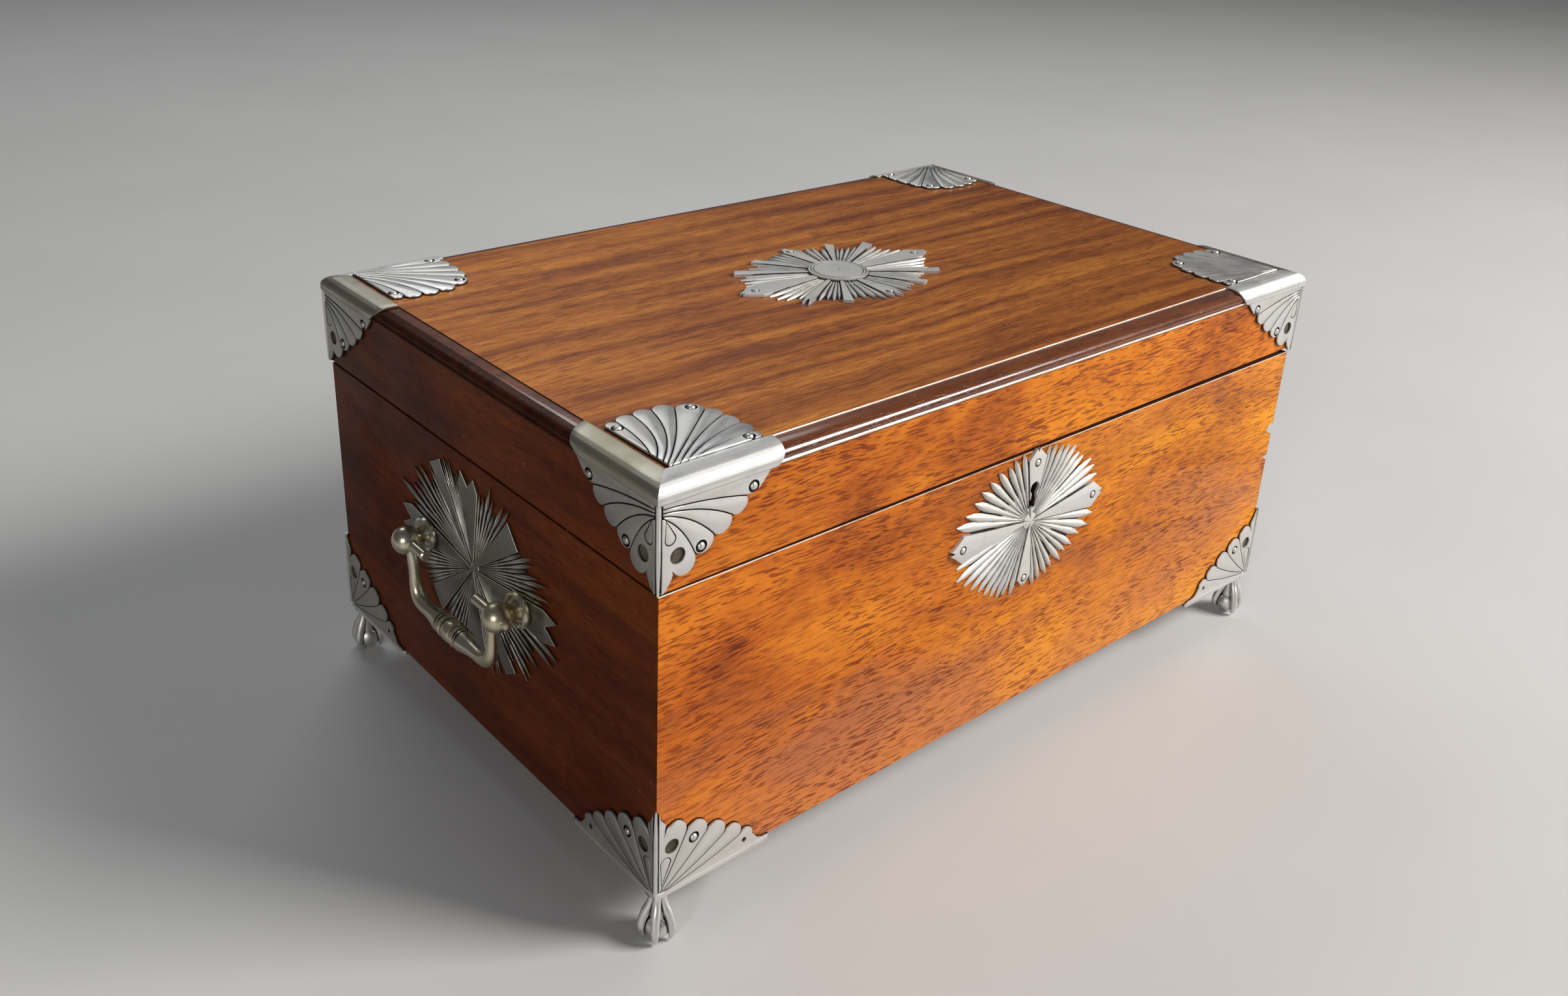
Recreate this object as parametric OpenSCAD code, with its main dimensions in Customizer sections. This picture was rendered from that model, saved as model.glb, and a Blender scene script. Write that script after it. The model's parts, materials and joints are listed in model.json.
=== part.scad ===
// Tea caddy: a mahogany box with a hinged lid, silver mounts, claw-and-ball feet and drop handles.
// Millimetres. The origin is on the ground under the middle of the box; +X runs along the front,
// the keyhole faces -Y, the hinges are at +Y and +Z is up. Everything is drawn closed and at rest.

/* [Case] */
// Length of the case, left to right
case_l = 340; // [320:1:380]
// Depth of the case, front to back
case_d = 220; // [210:1:240]
// Height of the lower case, from its underside to the seam
base_h = 111; // [108:1:125]
// Height from the seam to the top of the lid's side boards
lid_h = 32; // [28:1:38]
// Thickness of the moulded lid top
top_t = 4.6; // [4:0.1:6]
// Thickness of the side boards
wall = 11; // [11:0.5:13]
// Thickness of the bottom board
bottom_t = 8; // [6:0.5:10]
// Open gap between lid and case at the seam
seam_gap = 0.6; // [0.3:0.1:1]
// Width of the thumbnail moulding round the lid top
moulding_w = 7.2; // [5:0.1:9]
// Depth of the tongue that seats the lid top between the boards
tongue_t = 3; // [2:0.5:5]

/* [Silver mounts] */
// Thickness of the corner mounts and plates
mount_t = 1; // [0.8:0.1:1.4]
// Reach of a lid mount along the top of each side
lid_leaf_w = 43; // [38:1:48]
// Reach of a base mount along the bottom of each side
base_leaf_w = 47; // [42:1:52]
// Diameter of the round hole pierced in each side leaf
pierced_d = 5.5; // [4:0.5:6]
// Diameter of a pin head
pin_head_d = 2.2; // [1.8:0.1:2.6]
// Length of the escutcheon
escutcheon_l = 85.7; // [70:0.1:95]
// Height of the escutcheon
escutcheon_h = 57; // [50:0.1:57]
// Length of the sunburst on the lid
sunburst_l = 103; // [90:1:120]
// Width of the sunburst on the lid
sunburst_w = 73; // [60:1:85]
// Length of a handle's backplate
backplate_l = 110; // [95:1:120]
// Height of a handle's backplate
backplate_h = 74; // [65:1:80]

/* [Feet] */
// Height of the feet
foot_h = 22; // [20:0.5:26]
// Diameter of the ball in the claw
foot_ball_d = 12.8; // [11:0.1:13]
// Inset of a foot's centre from the outer corner
foot_inset = 3.5; // [3:0.5:8]
// Thickness of the flange between wood and foot
flange_t = 2.7; // [2:0.1:3]

/* [Handles] */
// Distance from the box's middle to each handle post
post_y = 32.7; // [30:0.1:36]
// Height of the handle's pivot above the underside of the case
pivot_h = 68.7; // [60:0.1:75]
// Distance of the pivot from the wood
pivot_out = 10; // [9.5:0.5:13]
// Diameter of a post's ball head
post_ball_d = 9.3; // [8:0.1:10]
// Diameter of the pintle that turns in the ball
pintle_d = 3.9; // [3:0.1:4.5]
// Radial clearance of the pintle in its bore
pintle_gap = 0.05; // [0.02:0.01:0.1]
// Drop of the grip below the pivot
bail_drop = 24; // [22:1:28]
// Diameter of the bail's arms
bail_d = 5.2; // [4:0.1:6]

/* [Lock and hinges] */
// Travel of the lock's bolt
bolt_travel = 5; // [4:0.5:5]
// Diameter of the keyhole's round end
keyhole_d = 5; // [4:0.1:6]
// Distance of each hinge from the middle
hinge_x = 105; // [80:1:120]
// Length of each hinge
hinge_l = 50; // [40:1:60]
// Diameter of a hinge's barrel
barrel_d = 5; // [4.5:0.1:5.5]
// Diameter of a hinge's pin
hinge_pin_d = 2.4; // [2:0.1:2.8]

/* [Fittings inside] */
// Distance of each divider's middle from the box's middle
divider_x = 50; // [46:1:60]
// Thickness of the dividers
divider_t = 6; // [5:0.5:8]
// Thickness of the tea linings
lining_t = 1.5; // [1:0.1:2]
// Thickness of the tea covers and the bowl's deck
cover_t = 5; // [4:0.5:6]
// Depth of the covers below the seam
cover_drop = 10; // [8:1:14]
// Diameter of the hole for the mixing bowl
bowl_hole_d = 76; // [70:1:78]
// Height of the mixing bowl
bowl_h = 78; // [60:1:80]

/* [Hidden] */
$fn = 48;

// Levels
z_wood = foot_h;
z_seam = foot_h + base_h;
z_lid = z_seam + seam_gap;
z_top0 = z_seam + lid_h;
z_top = z_top0 + top_t;
z_floor = z_wood + bottom_t;
z_cover = z_seam - cover_drop;
z_pivot = z_wood + pivot_h;

// Half sizes
hx = case_l / 2;
hy = case_d / 2;
ix = hx - wall;
iy = hy - wall;
x_pivot = hx + pivot_out;

// Corner signs, and the two sides of the box
CORNERS = [[-1, -1], [1, -1], [-1, 1], [1, 1]];
SIDES = [-1, 1];

// Silver
pin_head_t = 0.5;
pin_shank_d = 1.2;
pin_shank_l = 6;
escutcheon_pin_l = 4.5;
lobe_r = 3.6;
// Lobe tips of a side leaf on the lid: along the face, and down from the moulding
LID_LOBES = [[36, 7], [30.5, 12], [23.8, 16.4], [17, 20], [10.5, 24]];
LID_LEAF_PINS = [[34.1, 5.3], [14.8, 18.9]];
LID_HOLE = [5.9, 18.9];
lid_leaf_h = 31;
// Lobe tips of a side leaf on the base: along the face, and up from the bottom edge
BASE_LOBES = [[36, 6.4], [29.4, 12], [22.6, 17.2], [15, 21.5], [7.5, 24.6]];
BASE_LEAF_PINS = [[34.5, 4.3], [14.5, 17.3]];
BASE_HOLE = [5.2, 17.3];
base_leaf_h = 32;
// Fan on the lid top
fan_lobes = 9;
fan_r = 37;
fan_corner_r = 47;
TOP_PINS = [[33, 3.5], [30, 30], [3.5, 33]];
// Pins of the oval plates, from the plate's centre
ESCUTCHEON_PINS = [[-37, 0], [37, 0], [0, -24.5], [0, 24]];
SUNBURST_PINS = [[-44, 0], [44, 0], [0, -30], [0, 30]];
escutcheon_z = z_wood + 82;
sunburst_disc_d = 24.8;

// Handles
pintle_in = 15;
pintle_out = 7.5;
post_flange_d = 13.5;
post_flange_t = 2;
post_neck_d = 6;
post_tang_d = 4;
post_tang_l = 8;
grip_d = 6.4;
knop_d = 7.8;

// Lock, all in the front board
lock_w = 40;
lock_h = 34;
lock_y0 = -hy + 3.5;
lock_y1 = -iy - 1;
lock_skin = 1;
selvedge_w = 48;
selvedge_y0 = -hy + 3;
cap_h = 38;
bolt_y = -hy + 8.1;
bolt_t = 2;
LOOP_X = [-1, 11];
loop_t = 2;
loop_y0 = -hy + 5;
loop_w = 4.2;
keyhole_z = z_seam - 15;
keyhole_slot_w = 3.9;
keyhole_slot_z = z_seam - 23.3;
link_t = 1;
LOCK_SCREWS = [[-22, 9], [22, 9], [-22, 35], [22, 35]];
LINK_SCREW_X = [-19, 19];

// Hinges
hinge_y = hy + 0.6;
hinge_z = z_seam + seam_gap / 2;
hinge_bore_d = hinge_pin_d + 0.1;
leaf_t = 1.4;
leaf_y0 = iy + 1.5;
knuckle_gap = 0.3;
knuckle_l = hinge_l / 3;
notch_d = barrel_d + 1.2;
HINGE_SCREW_X = [-18, 0, 18];
hinge_screw_y = (leaf_y0 + hy - 3) / 2;
screw_d = 2.4;
screw_head_d = 4.2;
screw_head_t = 0.9;
screw_l = 8;

// Bowl
bowl_r = bowl_hole_d / 2 - 1;
bowl_foot_r = 29;
bowl_t = 3;
bowl_lip_r = 41;
bowl_lip_t = 3;
knob_h = 12;
batten_w = 8;

// ---------- helpers ----------

// A box given by two corners
module block(a, b) {
    translate(a) cube(b - a);
}

// A straight round bar between two points
module rod(a, b, d) {
    v = b - a;
    r = norm(v);
    translate(a) rotate([0, acos(v[2] / r), atan2(v[1], v[0])]) cylinder(h = r, d = d);
}

// A bent round bar through points p, with a slightly fuller ball at each bend and end
module bent_rod(p, d, ball_d) {
    for (i = [1 : len(p) - 1]) rod(p[i - 1], p[i], d);
    for (q = p) translate(q) sphere(d = ball_d);
}

// Copies its children, drawn for the front left corner, to the corner with signs s
module at_corner(s) {
    mirror([s[0] > 0 ? 1 : 0, 0, 0]) mirror([0, s[1] > 0 ? 1 : 0, 0]) children();
}

// Draws its children, made flat in XY, standing on the front face with X kept and Y turned up
module on_front(z = 0, y = -hy) {
    translate([0, y, z]) rotate([90, 0, 0]) children();
}

// Draws its children, made flat in XY, standing on the left face, X running towards the front
module on_left(z = 0, x = -hx) {
    translate([x, 0, z]) rotate([90, 0, -90]) children();
}

// Plan of a board of the mitred frame, along X at the front or back
module long_plan(side) {
    polygon([[-hx, side * hy], [hx, side * hy], [ix, side * iy], [-ix, side * iy]]);
}

// Plan of a board of the mitred frame, along Y at the left or right
module short_plan(side) {
    polygon([[side * hx, -hy], [side * hx, hy], [side * ix, iy], [side * ix, -iy]]);
}

// Outline of a sunburst of pointed rays: n rays on an oval that bulges by power
function oval_r(rx, ry, a, power) =
    pow(pow(abs(cos(a)) / rx, power) + pow(abs(sin(a)) / ry, power), -1 / power);
function star(rx, ry, n, dip, power) = [
    for (i = [0 : 2 * n - 1])
        let (a = 180 * i / n, r = oval_r(rx, ry, a, power) * (i % 2 == 0 ? 1 : 1 - dip))
            [r * cos(a), r * sin(a)]
];

// A keyhole cut along Y between two depths
module keyhole_cut(y0, y1) {
    translate([0, y1, keyhole_z]) rotate([90, 0, 0]) cylinder(h = y1 - y0, d = keyhole_d);
    block([-keyhole_slot_w / 2, y0, keyhole_slot_z], [keyhole_slot_w / 2, y1, keyhole_z]);
}

// Pins at points p, heads on the plane z = 0 and shanks below it
module pins(p, l = pin_shank_l) {
    for (q = p) translate([q[0], q[1], 0]) {
        cylinder(h = pin_head_t, d = pin_head_d, $fn = 24);
        translate([0, 0, -l]) cylinder(h = l, d = pin_shank_d, $fn = 24);
    }
}

// A quarter rod that closes the mounts' corner from z0 to z1
module corner_ridge(z0, z1) {
    difference() {
        translate([-hx, -hy, z0]) cylinder(h = z1 - z0, r = mount_t);
        block([-hx, -hy, z0 - 1], [0, 0, z1 + 1]);
    }
}

// A wood screw with its flat head's face at z = 0, going down
module screw(l) {
    translate([0, 0, -screw_head_t]) cylinder(h = screw_head_t, d = screw_head_d, $fn = 24);
    translate([0, 0, -l]) cylinder(h = l - screw_head_t, d = screw_d, $fn = 24);
}

// ---------- wooden case ----------

module base_front_board() {
    color("peru") difference() {
        translate([0, 0, z_wood]) linear_extrude(base_h) long_plan(-1);
        block([-lock_w / 2, lock_y0, z_seam - lock_h], [lock_w / 2, -iy + 1, z_seam + 1]);
        block([-selvedge_w / 2, selvedge_y0, z_seam - lock_skin], [selvedge_w / 2, -iy + 1, z_seam + 1]);
        block([-selvedge_w / 2, lock_y1, z_seam - cap_h], [selvedge_w / 2, -iy + 1, z_seam + 1]);
        keyhole_cut(-hy - 1, lock_y0 + 1);
    }
}

// Notches for both hinges' barrels and leaves; the leaf sits above or below the seam
module hinge_notches(z0, z1) {
    for (s = SIDES) translate([s * hinge_x, 0, 0]) {
        translate([-hinge_l / 2 - 0.5, hinge_y, hinge_z])
            rotate([0, 90, 0]) cylinder(h = hinge_l + 1, d = notch_d);
        block([-hinge_l / 2, leaf_y0, z0], [hinge_l / 2, hy + 1, z1]);
    }
}

module base_back_board() {
    color("saddlebrown") difference() {
        translate([0, 0, z_wood]) linear_extrude(base_h) long_plan(1);
        hinge_notches(z_seam - leaf_t, z_seam + 1);
    }
}

module base_side_board(side) {
    color("sienna") difference() {
        translate([0, 0, z_wood]) linear_extrude(base_h) short_plan(side);
        for (s = SIDES) translate([side * (hx + 1), s * post_y, z_pivot])
            rotate([0, -side * 90, 0]) cylinder(h = post_tang_l + 1, d = post_tang_d);
    }
}

module base_left_board() {
    base_side_board(-1);
}

module base_right_board() {
    base_side_board(1);
}

module bottom_board() {
    color("saddlebrown") block([-ix, -iy, z_wood], [ix, iy, z_floor]);
}

// ---------- silver corner mounts ----------

// Outline of a base leaf: X along the face from the corner, Y up from the bottom edge
module base_leaf_plan() {
    difference() {
        union() {
            polygon(concat([[-mount_t, 0], [base_leaf_w, 0]], BASE_LOBES, [[0.8, base_leaf_h], [-mount_t, base_leaf_h]]));
            for (p = BASE_LOBES) translate([p[0] - 2.2, p[1] - 1.2]) circle(r = lobe_r);
        }
        translate([-20, -20]) square([20 - mount_t, 80]);
        translate([-20, -20]) square([80, 20]);
        translate(BASE_HOLE) circle(d = pierced_d);
    }
}

module base_mount() {
    on_front(z_wood) translate([-hx, 0, 0]) linear_extrude(mount_t) base_leaf_plan();
    difference() {
        on_left(z_wood) translate([hy, 0, 0]) mirror([1, 0, 0]) linear_extrude(mount_t) base_leaf_plan();
        block([-hx - 5, -hy - 5, 0], [-hx + 1, -hy, z_top]);
    }
    corner_ridge(z_wood, z_wood + base_leaf_h);
}

// The pins of one base corner, on both faces
module base_corner_pins() {
    on_front(z_wood, -hy - mount_t) translate([-hx, 0, 0]) pins(BASE_LEAF_PINS);
    on_left(z_wood, -hx - mount_t) translate([hy, 0, 0]) mirror([1, 0, 0]) pins(BASE_LEAF_PINS);
}

module base_mount_pins() {
    color("silver") for (s = CORNERS) at_corner(s) base_corner_pins();
}

// Outline of a lid's side leaf: X along the face from the corner, Y up from the seam
module lid_leaf_plan() {
    difference() {
        translate([0, lid_leaf_h]) mirror([0, 1]) union() {
            polygon(concat([[-mount_t, 0], [lid_leaf_w, 0]], LID_LOBES, [[1.2, lid_leaf_h], [-mount_t, lid_leaf_h]]));
            for (p = LID_LOBES) translate([p[0] - 2.2, p[1] - 1.2]) circle(r = lobe_r);
        }
        translate([-20, -20]) square([20 - mount_t, 80]);
        translate([-20, lid_leaf_h]) square([80, 20]);
        translate([LID_HOLE[0], lid_leaf_h - LID_HOLE[1]]) circle(d = pierced_d);
    }
}

// Outline of the fan on the lid top, from the moulding's inner corner
module fan_plan() {
    difference() {
        union() {
            square([fan_r - 5, fan_r - 5]);
            for (k = [0 : fan_lobes - 1])
                let (a = 6 + 78 * k / (fan_lobes - 1), r = k == 4 ? fan_corner_r : fan_r)
                    translate([(r - 4) * cos(a), (r - 4) * sin(a)]) circle(r = 4.4);
        }
        translate([-20, -20]) square([20, 80]);
        translate([-20, -20]) square([80, 20]);
    }
}

// Cross-section of the lid top with its thumbnail edges, grown by e; half is half its width
function thumbnail(half, e) = let (
    steps = 8,
    edge = [
        for (i = [0 : steps])
            let (a = 90 * i / steps)
                [half - moulding_w + e + (moulding_w - 0.9) * cos(a), z_top0 + 1.2 + (top_t - 1.2) * sin(a) + e]
    ]
) concat(
    [[-half + 0.4 - e, z_top0], [half - 0.4 + e, z_top0], [half - 0.4 + e, z_top0 + 1.2 + e]],
    edge,
    [for (i = [steps : -1 : 0]) [-edge[i][0], edge[i][1]]],
    [[-half + 0.4 - e, z_top0 + 1.2 + e]]
);

// The moulded slab: where the long and the short section cross, the edges are mitred
module moulded_slab(e) {
    intersection() {
        translate([-case_l, 0, 0]) rotate([90, 0, 90]) linear_extrude(2 * case_l) polygon(thumbnail(hy, e));
        translate([0, case_l, 0]) rotate([90, 0, 0]) linear_extrude(2 * case_l) polygon(thumbnail(hx, e));
    }
}

module lid_mount() {
    z_leaf = z_top0 - lid_leaf_h;
    on_front(z_leaf) translate([-hx, 0, 0]) linear_extrude(mount_t) lid_leaf_plan();
    difference() {
        on_left(z_leaf) translate([hy, 0, 0]) mirror([1, 0, 0]) linear_extrude(mount_t) lid_leaf_plan();
        block([-hx - 5, -hy - 5, 0], [-hx + 1, -hy, z_top]);
    }
    corner_ridge(z_leaf, z_leaf + lid_leaf_h);
    difference() {
        intersection() {
            moulded_slab(mount_t);
            block([-hx - 5, -hy - 5, z_top0], [-hx + lid_leaf_w, -hy + lid_leaf_w, z_top + 5]);
        }
        moulded_slab(0);
        block([-hx + moulding_w, -hy + moulding_w, z_top0], [0, 0, z_top + 5]);
    }
    translate([-hx + moulding_w, -hy + moulding_w, z_top]) linear_extrude(mount_t) fan_plan();
}

module lid_corner_pins() {
    z_leaf = z_top0 - lid_leaf_h;
    leaf_pins = [for (p = LID_LEAF_PINS) [p[0], lid_leaf_h - p[1]]];
    on_front(z_leaf, -hy - mount_t) translate([-hx, 0, 0]) pins(leaf_pins);
    on_left(z_leaf, -hx - mount_t) translate([hy, 0, 0]) mirror([1, 0, 0]) pins(leaf_pins);
    translate([-hx + moulding_w, -hy + moulding_w, z_top + mount_t]) pins(TOP_PINS);
}

module lid_mount_pins() {
    color("silver") for (s = CORNERS) at_corner(s) lid_corner_pins();
}

// ---------- feet ----------

// A claw and ball under an L-shaped flange, at the front left corner
module foot() {
    cx = -hx + foot_inset;
    cy = -hy + foot_inset;
    z_flange = foot_h - flange_t;
    flange_w = 14;
    translate([0, 0, z_flange]) linear_extrude(flange_t) polygon([
        [-hx - mount_t, -hy - mount_t], [-hx + base_leaf_w, -hy - mount_t],
        [-hx + base_leaf_w - 3, -hy + flange_w / 2], [-hx + flange_w, -hy + flange_w],
        [-hx + flange_w / 2, -hy + base_leaf_w - 3], [-hx - mount_t, -hy + base_leaf_w]
    ]);
    intersection() {
        translate([cx, cy, 0]) {
            translate([0, 0, foot_ball_d / 2 - 0.4]) sphere(d = foot_ball_d);
            translate([0, 0, 9]) cylinder(h = foot_h - flange_t - 9, r1 = 3, r2 = 5.5);
            for (a = [45 : 90 : 315]) rotate([0, 0, a]) {
                bent_rod([[4.4, 0, z_flange - 0.9], [4.6, 0, 13], [6.4, 0, 8], [5.2, 0, 2]], 2.3, 2.6);
            }
        }
        block([-case_l, -case_d, 0], [case_l, case_d, foot_h - 0.1]);
    }
}

// ---------- oval silver plates ----------

module escutcheon() {
    color("silver") difference() {
        on_front(escutcheon_z) linear_extrude(mount_t + 0.2)
            polygon(star(escutcheon_l / 2, escutcheon_h / 2, 32, 0.07, 1.75));
        keyhole_cut(-hy - 5, -hy + 1);
    }
}

module escutcheon_pins() {
    color("silver") on_front(escutcheon_z, -hy - mount_t - 0.2) pins(ESCUTCHEON_PINS, escutcheon_pin_l);
}

module lid_sunburst() {
    color("silver") translate([0, 0, z_top]) {
        linear_extrude(mount_t + 0.2) polygon(star(sunburst_l / 2, sunburst_w / 2, 36, 0.08, 1.4));
        cylinder(h = mount_t + 0.8, d = sunburst_disc_d);
    }
}

module lid_sunburst_pins() {
    color("silver") translate([0, 0, z_top + mount_t + 0.2]) pins(SUNBURST_PINS);
}

// ---------- handles ----------

module handle_plate(side) {
    color("darkgray") mirror([side > 0 ? 1 : 0, 0, 0]) on_left(z_pivot) difference() {
        linear_extrude(mount_t) polygon(star(backplate_l / 2, backplate_h / 2, 30, 0.12, 1.6));
        for (s = SIDES) translate([s * post_y, 0, -1]) cylinder(h = mount_t + 2, d = post_tang_d + 0.1);
    }
}

// Flange, neck, ball and tang of one post, standing up from z = 0 on the plate
module post() {
    z_ball = pivot_out - mount_t;
    cylinder(h = post_flange_t, d = post_flange_d);
    cylinder(h = z_ball, d = post_neck_d);
    translate([0, 0, z_ball]) sphere(d = post_ball_d);
    translate([0, 0, -post_tang_l - mount_t]) cylinder(h = post_tang_l + mount_t, d = post_tang_d);
}

module handle_posts(side) {
    color("silver") mirror([side > 0 ? 1 : 0, 0, 0]) difference() {
        on_left(z_pivot, -hx - mount_t) for (s = SIDES) translate([s * post_y, 0, 0]) post();
        translate([-x_pivot, case_d, z_pivot]) rotate([90, 0, 0])
            cylinder(h = 2 * case_d, d = pintle_d + 2 * pintle_gap);
    }
}

// Half profile of the grip: distance from the grip's axis against distance from its middle
grip_half = post_y - 11;
knop_profile = [
    [0, -grip_half], [bail_d / 2, -grip_half], [bail_d / 2, 3 - grip_half], [grip_d / 2, -6.6],
    [knop_d / 2, -6], [knop_d / 2, -4.4], [grip_d / 2, -3.8], [grip_d / 2, -2.4], [knop_d / 2, -1.4],
    [knop_d / 2, 1.4], [grip_d / 2, 2.4], [grip_d / 2, 3.8], [knop_d / 2, 4.4], [knop_d / 2, 6],
    [grip_d / 2, 6.6], [bail_d / 2, grip_half - 3], [bail_d / 2, grip_half], [0, grip_half]
];

// The bail hangs straight down: its pintles lie on the pivot, its grip is below
module bail(side) {
    arm_top = post_y - 8.2;
    arm_out = post_y - 4.2;
    color("silver") mirror([side > 0 ? 1 : 0, 0, 0]) translate([-x_pivot, 0, z_pivot]) {
        for (s = SIDES) {
            translate([0, s * (post_y - pintle_in), 0]) rotate([-s * 90, 0, 0])
                cylinder(h = pintle_in + pintle_out, d = pintle_d);
            bent_rod([[0, s * arm_top, 0], [0, s * arm_out, -12], [0, s * (arm_out - 1.4), 5 - bail_drop],
                      [0, s * grip_half, -bail_drop]], bail_d, bail_d + 0.3);
        }
        translate([0, 0, -bail_drop]) rotate([90, 0, 0]) rotate_extrude() polygon(knop_profile);
    }
}

// ---------- lock ----------

module lock_case() {
    color("goldenrod") difference() {
        union() {
            block([-lock_w / 2, lock_y0, z_seam - lock_h], [lock_w / 2, lock_y1, z_seam]);
            block([-selvedge_w / 2, selvedge_y0, z_seam - lock_skin], [selvedge_w / 2, -iy, z_seam]);
        }
        block([-lock_w / 2 + lock_skin, lock_y0 + lock_skin, z_seam - lock_h + lock_skin],
              [lock_w / 2 - lock_skin, lock_y1 + 0.5, z_seam - lock_skin]);
        for (x = LOOP_X) block([x - loop_t / 2 - 0.6, loop_y0 - 0.5, z_seam - 2],
                               [x + loop_t / 2 + 0.6, loop_y0 + loop_w + 0.5, z_seam + 1]);
        keyhole_cut(lock_y0 - 1, lock_y0 + 2);
    }
}

module lock_cap() {
    color("goldenrod") difference() {
        block([-selvedge_w / 2, lock_y1, z_seam - cap_h], [selvedge_w / 2, -iy, z_seam - lock_skin]);
        for (p = LOCK_SCREWS) translate([p[0], lock_y1 - 1, z_seam - p[1]])
            rotate([-90, 0, 0]) cylinder(h = 3, d = 3.1, $fn = 24);
    }
}

module lock_pin() {
    color("silver") translate([0, lock_y1, keyhole_z]) rotate([90, 0, 0])
        cylinder(h = lock_y1 + hy - 1.5, d = 2.4, $fn = 24);
}

// A flat spring from the case's left wall that presses on the back of the bolt
module lock_spring() {
    x = -lock_w / 2 + lock_skin;
    color("gray") translate([0, bolt_y, z_seam]) rotate([90, 0, 0]) linear_extrude(bolt_t)
        polygon([[x, -6.8], [x + 6.6, -8.3], [x + 6.6, -8.8], [x, -7.4]]);
}

// Round-headed screws that hold the cap to the board
module lock_screws() {
    color("goldenrod") for (p = LOCK_SCREWS) translate([p[0], -iy, z_seam - p[1]])
        rotate([-90, 0, 0]) translate([0, 0, -6.5]) cylinder(h = 6.4, d = 3, $fn = 24);
}

// The bolt: a bar with two hooks whose prongs enter the link plate's loops
module lock_bolt() {
    color("goldenrod") translate([0, bolt_y, z_seam]) rotate([90, 0, 0]) linear_extrude(bolt_t) polygon([
        [-14, -12], [-3, -12], [-2, -11], [2, -11], [3, -12], [6, -12], [6, -9],
        [3.8, -9], [3.8, -6.9], [9, -6.9], [9, -4.1], [1, -4.1], [1, -9],
        [-8.2, -9], [-8.2, -6.9], [-3, -6.9], [-3, -4.1], [-11, -4.1], [-11, -9], [-14, -9]
    ]);
}

module link_plate() {
    color("goldenrod") difference() {
        union() {
            block([-selvedge_w / 2, selvedge_y0, z_seam], [selvedge_w / 2, -iy, z_lid + link_t]);
            for (x = LOOP_X) block([x - loop_t / 2, loop_y0, z_seam - 8.2], [x + loop_t / 2, loop_y0 + loop_w, z_lid]);
        }
        for (x = LOOP_X) block([x - loop_t, loop_y0 + 0.9, z_seam - 7.4], [x + loop_t, loop_y0 + loop_w - 0.9, z_seam - 3.6]);
        for (x = LINK_SCREW_X) translate([x, -hy + 7, z_seam - 1]) {
            cylinder(h = 5, d = screw_d, $fn = 24);
            cylinder(h = 1 + screw_head_t + 0.1, d = screw_head_d, $fn = 24);
        }
    }
}

module link_plate_screws() {
    color("goldenrod") for (x = LINK_SCREW_X) translate([x, -hy + 7, z_seam + 0.1])
        rotate([180, 0, 0]) screw(screw_l);
}

// ---------- hinges ----------

// A leaf and its knuckles: the lower leaf carries the two outer knuckles, the upper the middle one
module hinge_leaf(x, upper) {
    z0 = upper ? z_lid : z_seam - leaf_t;
    y1 = hinge_y - barrel_d / 2 - 0.5;
    half = hinge_l / 2;
    inner = knuckle_l / 2;
    spans = upper ? [[-inner + knuckle_gap, inner - knuckle_gap]] : [[-half, -inner], [inner, half]];
    color("goldenrod") translate([x, 0, 0]) difference() {
        union() {
            block([-half, leaf_y0, z0], [half, y1, z0 + leaf_t]);
            for (s = spans) {
                block([s[0], y1 - 1, z0], [s[1], hinge_y, z0 + leaf_t]);
                translate([s[0], hinge_y, hinge_z]) rotate([0, 90, 0]) cylinder(h = s[1] - s[0], d = barrel_d);
            }
        }
        translate([-hinge_l, hinge_y, hinge_z]) rotate([0, 90, 0]) cylinder(h = 2 * hinge_l, d = hinge_bore_d);
        for (sx = HINGE_SCREW_X) translate([sx, hinge_screw_y, z0 - 1]) cylinder(h = 4, d = screw_d, $fn = 24);
        for (sx = HINGE_SCREW_X) translate([sx, hinge_screw_y, upper ? z0 - 1 : z0 + leaf_t - screw_head_t - 0.1])
            cylinder(h = 2 + (upper ? -0.1 : 0), d = screw_head_d, $fn = 24);
    }
}

module hinge_pin(x) {
    color("goldenrod") translate([x - hinge_l / 2, hinge_y, hinge_z]) rotate([0, 90, 0])
        cylinder(h = hinge_l, d = hinge_pin_d);
}

module hinge_base_screws() {
    color("goldenrod") for (s = SIDES, sx = HINGE_SCREW_X)
        translate([s * hinge_x + sx, hinge_screw_y, z_seam - 0.1]) screw(screw_l);
}

module hinge_lid_screws() {
    color("goldenrod") for (s = SIDES, sx = HINGE_SCREW_X)
        translate([s * hinge_x + sx, hinge_screw_y, z_lid]) rotate([180, 0, 0]) screw(screw_l);
}

// ---------- fittings inside ----------

module divider(side) {
    color("saddlebrown") block([side * divider_x - divider_t / 2, -iy, z_floor],
                               [side * divider_x + divider_t / 2, iy, z_cover]);
}

// Draws its children for the left compartment, or mirrored for the right one
module in_compartment(side) {
    mirror([side > 0 ? 1 : 0, 0, 0]) children();
}

well_x0 = -ix;
well_x1 = -divider_x - divider_t / 2;

module tea_lining(side) {
    color("lightgray") in_compartment(side) difference() {
        block([well_x0, -iy, z_floor], [well_x1, iy, z_cover - cover_t]);
        block([well_x0 + lining_t, -iy + lining_t, z_floor + lining_t], [well_x1 - lining_t, iy - lining_t, z_cover]);
    }
}

module tea_cover(side) {
    gap = 0.5;
    color("brown") in_compartment(side) {
        block([well_x0 + gap, -iy + gap, z_cover - cover_t], [well_x1 - gap, iy - gap, z_cover]);
        translate([(well_x0 + well_x1) / 2, 0, z_cover - 0.01]) rotate_extrude() polygon([
            [0, 0], [6, 0], [6, 1], [3, 2.5], [2.6, 4], [4, 5.5], [6, 7.2], [6.4, 9], [5.2, 11], [2.5, knob_h], [0, knob_h]
        ]);
    }
}

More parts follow.
